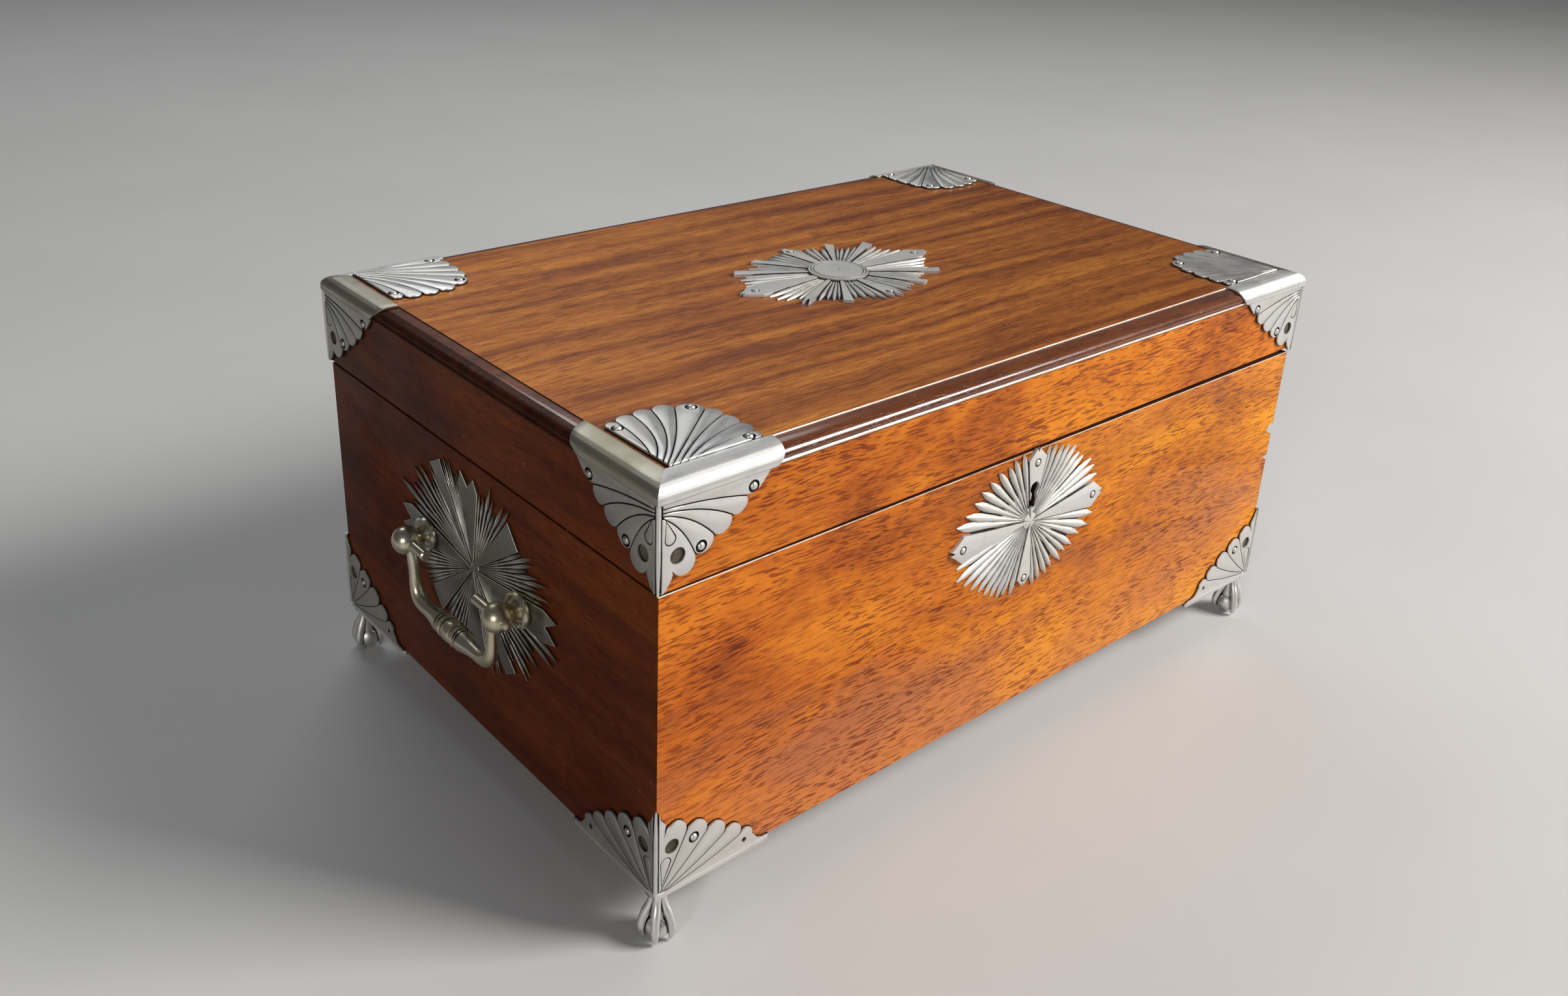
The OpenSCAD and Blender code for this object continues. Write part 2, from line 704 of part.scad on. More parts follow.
module bowl_deck() {
    half = divider_x - divider_t / 2;
    color("brown") difference() {
        block([-half, -iy, z_cover - cover_t], [half, iy, z_cover]);
        translate([0, 0, z_cover - cover_t - 1]) cylinder(h = cover_t + 2, d = bowl_hole_d);
    }
}

module deck_battens() {
    half = divider_x - divider_t / 2;
    z1 = z_cover - cover_t;
    color("saddlebrown") for (s = SIDES)
        block([-half, s * (iy - batten_w / 2) - batten_w / 2, z1 - batten_w],
              [half, s * (iy - batten_w / 2) + batten_w / 2, z1]);
}

module mixing_bowl() {
    color("lightcyan") translate([0, 0, z_cover]) rotate_extrude($fn = 96) polygon([
        [0, -bowl_h], [bowl_foot_r, -bowl_h], [bowl_r, -10], [bowl_r, 0], [bowl_lip_r, 0],
        [bowl_lip_r, bowl_lip_t], [bowl_r - bowl_t, bowl_lip_t], [bowl_r - bowl_t, -10],
        [bowl_foot_r - bowl_t, -bowl_h + 6], [0, -bowl_h + 6]
    ]);
}

// ---------- lid ----------

module lid_board_x(side) {
    translate([0, 0, z_lid]) linear_extrude(z_top0 - z_lid) long_plan(side);
}

module lid_front_board() {
    color("peru") difference() {
        lid_board_x(-1);
        block([-selvedge_w / 2, selvedge_y0, z_lid - 1], [selvedge_w / 2, -iy + 1, z_lid + link_t]);
    }
}

module lid_back_board() {
    color("saddlebrown") difference() {
        lid_board_x(1);
        hinge_notches(z_lid - 1, z_lid + leaf_t);
    }
}

module lid_side_board(side) {
    color("sienna") translate([0, 0, z_lid]) linear_extrude(z_top0 - z_lid) short_plan(side);
}

module lid_left_board() {
    lid_side_board(-1);
}

module lid_right_board() {
    lid_side_board(1);
}

module lid_top_panel() {
    color("saddlebrown") {
        moulded_slab(0);
        block([-ix, -iy, z_top0 - tongue_t], [ix, iy, z_top0 + 1]);
    }
}

// ---------- assembly ----------

base_front_board();
base_back_board();
base_left_board();
base_right_board();
bottom_board();
color("silver") at_corner(CORNERS[0]) base_mount();  // base_mount_front_left
color("silver") at_corner(CORNERS[1]) base_mount();  // base_mount_front_right
color("silver") at_corner(CORNERS[2]) base_mount();  // base_mount_back_left
color("silver") at_corner(CORNERS[3]) base_mount();  // base_mount_back_right
base_mount_pins();
color("silver") at_corner(CORNERS[0]) foot();  // foot_front_left
color("silver") at_corner(CORNERS[1]) foot();  // foot_front_right
color("silver") at_corner(CORNERS[2]) foot();  // foot_back_left
color("silver") at_corner(CORNERS[3]) foot();  // foot_back_right
escutcheon();
escutcheon_pins();
handle_plate(-1);  // handle_plate_left
handle_plate(1);  // handle_plate_right
handle_posts(-1);  // handle_posts_left
handle_posts(1);  // handle_posts_right
lock_case();
lock_cap();
lock_spring();
lock_pin();
lock_screws();
lock_bolt();
hinge_leaf(-hinge_x, false);  // hinge_base_leaf_left
hinge_leaf(hinge_x, false);  // hinge_base_leaf_right
hinge_leaf(-hinge_x, true);  // hinge_lid_leaf_left
hinge_leaf(hinge_x, true);  // hinge_lid_leaf_right
hinge_pin(-hinge_x);  // hinge_pin_left
hinge_pin(hinge_x);  // hinge_pin_right
hinge_base_screws();
hinge_lid_screws();
divider(-1);  // divider_left
divider(1);  // divider_right
tea_lining(-1);  // tea_lining_left
tea_lining(1);  // tea_lining_right
tea_cover(-1);  // tea_cover_left
tea_cover(1);  // tea_cover_right
bowl_deck();
deck_battens();
mixing_bowl();
lid_front_board();
lid_back_board();
lid_left_board();
lid_right_board();
lid_top_panel();
color("silver") at_corner(CORNERS[0]) lid_mount();  // lid_mount_front_left
color("silver") at_corner(CORNERS[1]) lid_mount();  // lid_mount_front_right
color("silver") at_corner(CORNERS[2]) lid_mount();  // lid_mount_back_left
color("silver") at_corner(CORNERS[3]) lid_mount();  // lid_mount_back_right
lid_mount_pins();
lid_sunburst();
lid_sunburst_pins();
link_plate();
link_plate_screws();
bail(-1);  // bail_left
bail(1);  // bail_right
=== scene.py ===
"""Looks of a closed mahogany tea caddy with sheet-silver mounts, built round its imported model.

Lengths in the classes are millimetres unless a name says otherwise; MM turns them into metres.
"""

import json
import logging
import math
import random
from dataclasses import dataclass, field
from enum import Enum
from typing import Callable, Iterable, Optional, Sequence

import bpy
from mathutils import Matrix, Vector


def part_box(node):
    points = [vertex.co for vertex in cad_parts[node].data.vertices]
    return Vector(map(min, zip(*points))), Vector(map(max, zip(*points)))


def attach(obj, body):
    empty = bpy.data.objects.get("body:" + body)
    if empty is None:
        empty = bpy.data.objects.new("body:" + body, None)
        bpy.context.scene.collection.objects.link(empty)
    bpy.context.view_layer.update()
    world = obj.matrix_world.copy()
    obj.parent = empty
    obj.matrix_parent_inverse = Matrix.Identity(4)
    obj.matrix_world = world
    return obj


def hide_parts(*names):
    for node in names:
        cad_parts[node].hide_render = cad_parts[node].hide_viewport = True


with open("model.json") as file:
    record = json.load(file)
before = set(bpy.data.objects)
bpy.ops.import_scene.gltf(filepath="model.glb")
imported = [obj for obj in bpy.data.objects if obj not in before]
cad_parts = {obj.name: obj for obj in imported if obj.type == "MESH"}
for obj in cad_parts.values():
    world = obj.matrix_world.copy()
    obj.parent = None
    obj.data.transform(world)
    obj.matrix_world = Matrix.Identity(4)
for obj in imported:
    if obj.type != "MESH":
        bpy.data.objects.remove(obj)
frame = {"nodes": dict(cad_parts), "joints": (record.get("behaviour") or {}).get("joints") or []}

Point = tuple[float, float]
Triple = tuple[float, float, float]
Piece = bpy.types.Object
Socket = bpy.types.NodeSocket
Material = bpy.types.Material

log = logging.getLogger("tea_caddy")
MM = 0.001
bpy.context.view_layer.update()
POST_FLANGE_R = 6.75


# ---------------------------------------------------------------- places

@dataclass(frozen=True)
class Places:
    """Levels and half sizes of the box, in millimetres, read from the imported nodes."""

    half_l: float
    half_d: float
    z_wood: float
    z_seam: float
    z_lid: float
    z_moulding: float
    z_top: float
    pivot_x: float
    pivot_z: float
    post_y: float

    @classmethod
    def from_frame(cls) -> "Places":
        """Reads the places from the nodes' boxes and the bail's joint."""
        front_lo, front_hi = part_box("base_front_board")
        lid_lo, lid_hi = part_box("lid_front_board")
        top_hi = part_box("lid_top_panel")[1]
        post_lo, post_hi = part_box("handle_posts_left")
        pivot = next(j for j in frame["joints"] if j["name"] == "bail_left_swing")["pos_m"]
        return cls(
            half_l=front_hi.x / MM,
            half_d=-front_lo.y / MM,
            z_wood=front_lo.z / MM,
            z_seam=front_hi.z / MM,
            z_lid=lid_lo.z / MM,
            z_moulding=lid_hi.z / MM,
            z_top=top_hi.z / MM,
            pivot_x=-pivot[0] / MM,
            pivot_z=pivot[2] / MM,
            post_y=(post_hi.y - post_lo.y) / 2 / MM - POST_FLANGE_R,
        )


BOX = Places.from_frame()


class Side(Enum):
    """Left or right half of the box; the value is the sign of X."""

    LEFT = -1
    RIGHT = 1

    @property
    def word(self) -> str:
        """The side's name as the nodes spell it."""
        return self.name.lower()


class Corner(Enum):
    """The four corners; the value is the signs of X and Y."""

    FRONT_LEFT = (-1, -1)
    FRONT_RIGHT = (1, -1)
    BACK_LEFT = (-1, 1)
    BACK_RIGHT = (1, 1)

    @property
    def word(self) -> str:
        """The corner's name as the nodes spell it."""
        return self.name.lower()

    @property
    def mirror(self) -> Matrix:
        """The matrix that carries the front left corner's shape to this corner."""
        return Matrix.Diagonal((-self.value[0], -self.value[1], 1, 1))


# ---------------------------------------------------------------- finishes

NOISE_ROUGHNESS = 0.55


class Sketch:
    """A node tree drawn with short calls."""

    def __init__(self, name: str) -> None:
        """Starts a material with a Principled shader."""
        self.material = bpy.data.materials.new(name)
        self.material.use_nodes = True
        self.tree = self.material.node_tree
        self.shader = self.tree.nodes["Principled BSDF"]
        self.coords = self.tree.nodes.new("ShaderNodeTexCoord").outputs["Object"]

    def link(self, source: Socket, node: bpy.types.Node, socket: str | int) -> None:
        """Joins an output to a named or numbered input."""
        self.tree.links.new(source, node.inputs[socket])

    def node(self, kind: str, values: dict[str | int, object]) -> bpy.types.Node:
        """Adds a shader node and sets some of its inputs.

        Args:
            kind: the node's type, without the common prefix.
            values: a value for each named or numbered input.

        Returns:
            The new node.
        """
        node = self.tree.nodes.new("ShaderNode" + kind)
        self.set(node, values)
        return node

    @staticmethod
    def set(node: bpy.types.Node, values: dict[str | int, object]) -> None:
        """Sets some of a node's inputs."""
        for socket, value in values.items():
            node.inputs[socket].default_value = value

    def mapping(self, scale: Sequence[float], turn: Sequence[float] = (0, 0, 0),
                source: Optional[Socket] = None) -> Socket:
        """Scaled and turned coordinates.

        Args:
            scale: repeats to the metre along each axis.
            turn: rotation in degrees.
            source: coordinates to start from, or the Object coordinates.

        Returns:
            The mapped vector.
        """
        node = self.node("Mapping", {"Scale": scale, "Rotation": [math.radians(t) for t in turn]})
        self.link(source or self.coords, node, "Vector")
        return node.outputs["Vector"]

    def noise(self, vector: Socket, detail: float = 3.0, distortion: float = 0.0) -> Socket:
        """A noise of unit scale over mapped coordinates."""
        node = self.node("TexNoise", {"Scale": 1.0, "Detail": detail, "Distortion": distortion,
                                      "Roughness": NOISE_ROUGHNESS})
        self.link(vector, node, "Vector")
        return node.outputs["Fac"]

    def ramp(self, value: Socket, stops: Sequence[tuple[float, Sequence[float]]]
             ) -> Socket:
        """Colours along a value; each stop is a place and an RGB or grey."""
        node = self.node("ValToRGB", {})
        bar = node.color_ramp.elements
        while len(bar) < len(stops):
            bar.new(0.5)
        for element, (place, colour) in zip(bar, stops):
            element.position = place
            element.color = (*colour, 1.0) if len(colour) == 3 else (*[colour[0]] * 3, 1.0)
        self.link(value, node, "Fac")
        return node.outputs["Color"]

    def fit(self, value: Socket, low: float, high: float, to_low: float = 0.0,
            to_high: float = 1.0) -> Socket:
        """A value's range carried to another, clamped."""
        node = self.node("MapRange", {1: low, 2: high, 3: to_low, 4: to_high})
        self.link(value, node, 0)
        return node.outputs[0]

    def mix(self, factor: Socket | float, a: object, b: object,
            blend: str = "MIX") -> Socket:
        """Two colours mixed; each is a socket or an RGB."""
        node = self.node("Mix", {})
        node.data_type = "RGBA"
        node.blend_type = blend
        for socket, value in ((0, factor), (6, a), (7, b)):
            if isinstance(value, Socket):
                self.link(value, node, socket)
            else:
                node.inputs[socket].default_value = (*value, 1.0) if socket else value
        return node.outputs[2]

    def maths(self, kind: str, a: Socket, b: Socket | float
              ) -> Socket:
        """One arithmetic step on two values."""
        node = self.node("Math", {})
        node.operation = kind
        self.link(a, node, 0)
        if isinstance(b, Socket):
            self.link(b, node, 1)
        else:
            node.inputs[1].default_value = b
        return node.outputs[0]

    def add(self, a: Socket, b: Socket) -> Socket:
        """The sum of two values."""
        return self.maths("ADD", a, b)

    def times(self, a: Socket, b: Socket | float) -> Socket:
        """The product of two values."""
        return self.maths("MULTIPLY", a, b)

    def wander(self, scale: Sequence[float], amount: float) -> Socket:
        """Object coordinates pushed about by a slow noise, so straight lines wander.

        Args:
            scale: repeats of the noise to the metre.
            amount: the push in metres.

        Returns:
            The pushed vector.
        """
        node = self.node("TexNoise", {"Scale": 1.0, "Detail": 2.0})
        self.link(self.mapping(scale), node, "Vector")
        push = self.node("VectorMath", {1: (amount, amount, amount)})
        push.operation = "MULTIPLY_ADD"
        self.link(node.outputs["Color"], push, 0)
        self.link(self.coords, push, 2)
        return push.outputs[0]

    def bump(self, height: Socket, strength: float, distance: float) -> None:
        """Raises the surface by a height, in metres at full strength."""
        node = self.node("Bump", {"Strength": strength, "Distance": distance})
        self.link(height, node, "Height")
        self.link(node.outputs["Normal"], self.shader, "Normal")

    def along(self, axis: str) -> Socket:
        """One of the Object coordinates."""
        node = self.node("SeparateXYZ", {})
        self.link(self.coords, node, 0)
        return node.outputs[axis]


# Painted reflection of the lit floor: a paler orange veil low on the base's front board.
FLOOR_REFLECTION_COLOUR = (0.56, 0.21, 0.09)
PORE_SHADE = (0.40, 0.27, 0.18)
SPECK_COLOUR = (0.6, 0.42, 0.25)
POLISH_ROUGHNESS = 0.14
GLASS_IOR = 1.47


class Grain(Enum):
    """Which way a board's fibres run."""

    ALONG_X = 0
    ALONG_Y = 1


@dataclass(frozen=True)
class Mahogany:
    """French-polished mahogany: a soft figure, orange lights and short dark pore dashes along the grain, plus
    painted light.
    """

    name: str
    dark: Triple
    mid: Triple
    light: Triple
    grain: Grain = Grain.ALONG_X
    tilt: float = 0.0
    streak: float = 0.4
    pore: float = 0.6
    pore_length: float = 150.0
    pore_width: float = 1500.0
    mottle: float = 0.14
    ribbon: float = 0.0
    tint_across_x: Optional[Triple] = None
    floor_reflection: float = 0.0
    roughness: float = 0.34
    coat: float = 0.35
    specular: float = 0.25

    def build(self) -> Material:
        """Makes the material."""
        s = Sketch(self.name)
        turn = (0, self.tilt, 0)
        soft = s.wander((11, 11, 18), 0.009)

        def fibrous(long: float, across: float, *how: float) -> Socket:
            """A noise with few repeats along the fibres and many across."""
            along_x = self.grain is Grain.ALONG_X
            scale = (long, across, across) if along_x else (across, long, across)
            return s.noise(s.mapping(scale, turn, soft), *how)

        figure = s.noise(s.mapping((9, 9, 20), turn, soft), 3, 0.8)
        streaks = fibrous(6, 120, 4, 0.4)
        mottle = fibrous(160, 420, 4)
        fibres = fibrous(90, 2600, 2)
        dashes = fibrous(self.pore_length, self.pore_width, 1.5)
        tone = s.add(s.times(figure, 0.75 - self.streak), s.times(streaks, self.streak))
        tone = s.add(tone, s.fit(mottle, 0.0, 1.0, 0.125 - self.mottle / 2, 0.125 + self.mottle / 2))
        tone = s.add(tone, s.fit(fibres, 0.3, 0.7, -0.03, 0.03))
        if self.ribbon:
            bands = s.noise(s.mapping((26, 26, 5), (0, 18, 0), soft), 2)
            tone = s.add(tone, s.fit(bands, 0.35, 0.65, -self.ribbon, self.ribbon))
        colour = s.ramp(tone, ((0.4, self.dark), (0.5, self.mid), (0.62, self.light)))
        # A tint across X: on the front boards it brightens them towards the lit right, partly painted light;
        # on the top it darkens the right.
        if self.tint_across_x:
            lit = s.fit(s.along("X"), -0.14, 0.17)
            colour = s.mix(lit, colour, s.mix(1.0, colour, self.tint_across_x, "MULTIPLY"))
        # Painted reflection of the floor: the colour goes towards a paler orange low down.
        if self.floor_reflection:
            low = s.add(s.along("Z"), s.fit(figure, 0.3, 0.7, -0.03, 0.03))
            colour = s.mix(s.fit(low, 0.08, 0.025, 0.0, self.floor_reflection), colour, FLOOR_REFLECTION_COLOUR)
        dash = s.fit(dashes, 0.53, 0.59)
        gather = s.fit(s.noise(s.mapping((30, 30, 60)), 2), 0.35, 0.6, 0.5, 1.0)
        dash = s.times(dash, gather)
        colour = s.mix(s.times(dash, self.pore), colour, s.mix(1.0, colour, PORE_SHADE, "MULTIPLY"))
        speck = s.fit(s.noise(s.mapping((500, 500, 500)), 1), 0.79, 0.81, 0.0, 0.5)
        colour = s.mix(speck, colour, SPECK_COLOUR)
        s.link(colour, s.shader, "Base Color")
        smears = s.noise(s.mapping((35, 35, 35)), 3)
        s.link(s.fit(smears, 0.3, 0.7, self.roughness - 0.05, self.roughness + 0.1), s.shader, "Roughness")
        s.set(s.shader, {"Coat Weight": self.coat, "Coat Roughness": POLISH_ROUGHNESS,
                         "Specular IOR Level": self.specular})
        s.bump(s.maths("SUBTRACT", s.times(fibres, 0.3), dash), 0.5, 0.00012)
        return s.material


@dataclass(frozen=True)
class Silver:
    """Worked silver: satin, lightly dented, with dark tarnish where it is sheltered."""

    name: str
    bright: Triple
    tarnish: Triple
    shelter_mm: float = 0.9
    roughness: float = 0.34
    toning: float = 0.25
    warm: Triple = (0.62, 0.55, 0.40)
    dents: float = 0.35

    def build(self) -> Material:
        """Makes the material."""
        s = Sketch(self.name)
        hollow = s.node("AmbientOcclusion", {"Distance": self.shelter_mm * MM})
        hollow.samples = 6
        hollow.only_local = True
        clouds = s.noise(s.mapping((45, 45, 45)), 4)
        blotch = s.noise(s.mapping((180, 180, 180)), 3)
        colour = s.mix(s.fit(clouds, 0.38, 0.72, 0.0, self.toning), self.bright, self.warm)
        shade = s.add(hollow.outputs["AO"], s.fit(blotch, 0.35, 0.65, -0.1, 0.08))
        colour = s.mix(s.fit(shade, 0.42, 0.93), self.tarnish, colour)
        s.link(colour, s.shader, "Base Color")
        s.set(s.shader, {"Metallic": 1.0})
        s.link(s.fit(clouds, 0.3, 0.7, self.roughness - 0.07, self.roughness + 0.12), s.shader, "Roughness")
        scratch = s.noise(s.mapping((60, 1500, 900), (20, 35, 40)), 2)
        dents = s.noise(s.mapping((110, 110, 110)), 2)
        s.bump(s.add(s.times(scratch, 0.08), dents), self.dents, 0.00025)
        return s.material


@dataclass(frozen=True)
class PlainMetal:
    """Brass, steel or tin-lead sheet with cloudy tone and a little bump."""

    name: str
    light: Triple
    dark: Triple
    roughness: float = 0.35
    dent: float = 0.0001

    def build(self) -> Material:
        """Makes the material."""
        s = Sketch(self.name)
        clouds = s.noise(s.mapping((60, 60, 60)), 4)
        s.link(s.ramp(clouds, ((0.35, self.dark), (0.62, self.light))), s.shader, "Base Color")
        s.set(s.shader, {"Metallic": 1.0})
        s.link(s.fit(clouds, 0.3, 0.7, self.roughness, self.roughness + 0.2), s.shader, "Roughness")
        s.bump(s.noise(s.mapping((240, 240, 240)), 3), 0.3, self.dent)
        return s.material


@dataclass(frozen=True)
class Glass:
    """Clear blown glass with a faint ripple."""

    name: str

    def build(self) -> Material:
        """Makes the material."""
        s = Sketch(self.name)
        ripple = s.noise(s.mapping((30, 30, 70)), 2)
        s.link(s.mix(ripple, (0.86, 0.95, 0.93), (0.95, 0.98, 0.97)), s.shader, "Base Color")
        s.set(s.shader, {"Transmission Weight": 0.9, "IOR": GLASS_IOR})
        s.link(s.fit(ripple, 0.3, 0.7, 0.02, 0.06), s.shader, "Roughness")
        s.bump(ripple, 0.2, 0.0002)
        return s.material


# The front boards' tint across X is partly painted light, brighter towards the lit right.
FRONT_WOOD = Mahogany("front_mahogany", (0.26, 0.050, 0.005), (0.45, 0.104, 0.008), (0.63, 0.185, 0.013),
                      tilt=3.0, streak=0.15, pore=1.0, tint_across_x=(1.35, 1.8, 0.45), floor_reflection=0.45, coat=0.03,
                      specular=0.12)
LID_FRONT_WOOD = Mahogany("lid_front_mahogany", (0.20, 0.038, 0.004), (0.40, 0.092, 0.008),
                          (0.58, 0.172, 0.013), tilt=2.0, streak=0.15, pore=1.0, ribbon=0.05,
                          tint_across_x=(1.4, 1.6, 0.45), coat=0.03, specular=0.12)
# The top's tint across X darkens it towards the right.
TOP_WOOD = Mahogany("top_mahogany", (0.19, 0.048, 0.008), (0.35, 0.108, 0.016), (0.53, 0.195, 0.027),
                    streak=0.6, pore=0.7, pore_length=100.0, tint_across_x=(0.6, 0.55, 0.5), roughness=0.45, coat=0.08)
# Painted shade: the moulding's end faces wear a darker copy of the moulding wood.
SHADED_END_MOULDING_WOOD = Mahogany("shaded_end_moulding_mahogany", (0.018, 0.004, 0.001), (0.034, 0.008, 0.002),
                             (0.06, 0.014, 0.003), streak=0.5, pore=0.3, coat=0.0, specular=0.08)
MOULDING_WOOD = Mahogany("moulding_mahogany", (0.05, 0.012, 0.004), (0.10, 0.024, 0.006),
                         (0.17, 0.045, 0.009), streak=0.5, pore=0.3, roughness=0.26, coat=0.9)
# Painted shade: the box's ends wear a much darker copy of the mahogany, its grain along Y.
SHADED_SIDE_WOOD = Mahogany("shaded_side_mahogany", (0.042, 0.007, 0.001), (0.080, 0.014, 0.002), (0.135, 0.027, 0.003),
                     grain=Grain.ALONG_Y, streak=0.3, pore=0.4, coat=0.0, specular=0.06)
BACK_WOOD = Mahogany("back_mahogany", (0.06, 0.012, 0.003), (0.12, 0.026, 0.005), (0.21, 0.055, 0.009),
                     streak=0.4)
INNER_WOOD = Mahogany("inner_mahogany", (0.13, 0.045, 0.015), (0.24, 0.09, 0.032), (0.34, 0.14, 0.055),
                      grain=Grain.ALONG_Y, roughness=0.5, coat=0.1)
# Painted shade for the faces in the seam between lid and base, and for the keyhole's walls.
SEAM_SHADE_WOOD = Mahogany("seam_shade_mahogany", (0.028, 0.008, 0.003), (0.045, 0.014, 0.004), (0.07, 0.024, 0.007),
                     roughness=0.7, coat=0.0, specular=0.1)
# Painted highlight: a near-white glossy tan for the lit arris under the seam and the moulding's bright lines.
ARRIS_HIGHLIGHT = Mahogany("arris_highlight", (0.50, 0.30, 0.17), (0.85, 0.72, 0.60), (0.95, 0.9, 0.86), streak=0.5,
                      pore=0.3, roughness=0.25, coat=0.8, specular=0.6)

LIGHT_SILVER = Silver("sheet_silver", (0.70, 0.69, 0.675), (0.03, 0.027, 0.024), roughness=0.42)
BRIGHT_SILVER = Silver("bright_silver", (0.70, 0.69, 0.675), (0.03, 0.026, 0.022), shelter_mm=1.6,
                       roughness=0.62)
LID_SILVER = Silver("lid_silver", (0.56, 0.555, 0.545), (0.03, 0.026, 0.022), shelter_mm=1.4,
                    roughness=0.62)
BAND_SILVER = Silver("band_silver", (0.62, 0.62, 0.615), (0.03, 0.027, 0.024), roughness=0.54)
# Painted shade: the leaves on the box's ends wear a darker copy of the sheet silver.
SHADED_SIDE_SILVER = Silver("shaded_side_silver", (0.37, 0.365, 0.345), (0.03, 0.027, 0.024), roughness=0.42)
# Painted shade: the backplates on the box's ends wear a dark copy of the silver.
SHADED_SILVER = Silver("shaded_silver", (0.22, 0.21, 0.185), (0.012, 0.01, 0.008), toning=0.5,
                     warm=(0.18, 0.15, 0.095))
# Painted highlight for the bevels and slopes of the handles' backplates.
HIGHLIGHT_SILVER = Silver("highlight_silver", (0.86, 0.83, 0.74), (0.02, 0.017, 0.013), toning=0.4,
                       warm=(0.70, 0.60, 0.42), roughness=0.36)
CAST_SILVER = Silver("cast_silver", (0.60, 0.56, 0.46), (0.03, 0.025, 0.018), shelter_mm=1.2, toning=0.65,
                     warm=(0.50, 0.39, 0.19), roughness=0.27, dents=0.08)
# Painted shade: the half of each corner band on the box's end wears a darker, warmer silver.
SHADED_WARM_SILVER = Silver("shaded_warm_silver", (0.42, 0.395, 0.335), (0.03, 0.025, 0.018), toning=0.7,
                     warm=(0.34, 0.29, 0.19), roughness=0.4)
OLD_BACKING = PlainMetal("dull_backing", (0.26, 0.23, 0.18), (0.09, 0.075, 0.055), 0.6)
# Near-black sheet under the mounts' gaps: painted shade and tarnish in engraved lines, grooves and pin seats.
SHADE_AND_TARNISH = PlainMetal("tarnish", (0.05, 0.042, 0.035), (0.015, 0.012, 0.01), 0.5)
BRASS = PlainMetal("brass", (0.66, 0.47, 0.2), (0.38, 0.26, 0.11))
STEEL = PlainMetal("blued_steel", (0.32, 0.33, 0.36), (0.14, 0.14, 0.17), 0.3)
FOIL = PlainMetal("tin_lead_sheet", (0.46, 0.46, 0.47), (0.24, 0.24, 0.25), 0.5, 0.0004)
BOWL_GLASS = Glass("clear_glass")


Finish = Mahogany | Silver | PlainMetal | Glass


class Finishes:
    """Builds each finish once and hands it out."""

    made: dict[str, Material] = {}

    @classmethod
    def of(cls, finish: Finish) -> Material:
        """The material of a finish, built at its first use."""
        if finish.name not in cls.made:
            cls.made[finish.name] = finish.build()
        return cls.made[finish.name]


# ---------------------------------------------------------------- the bench

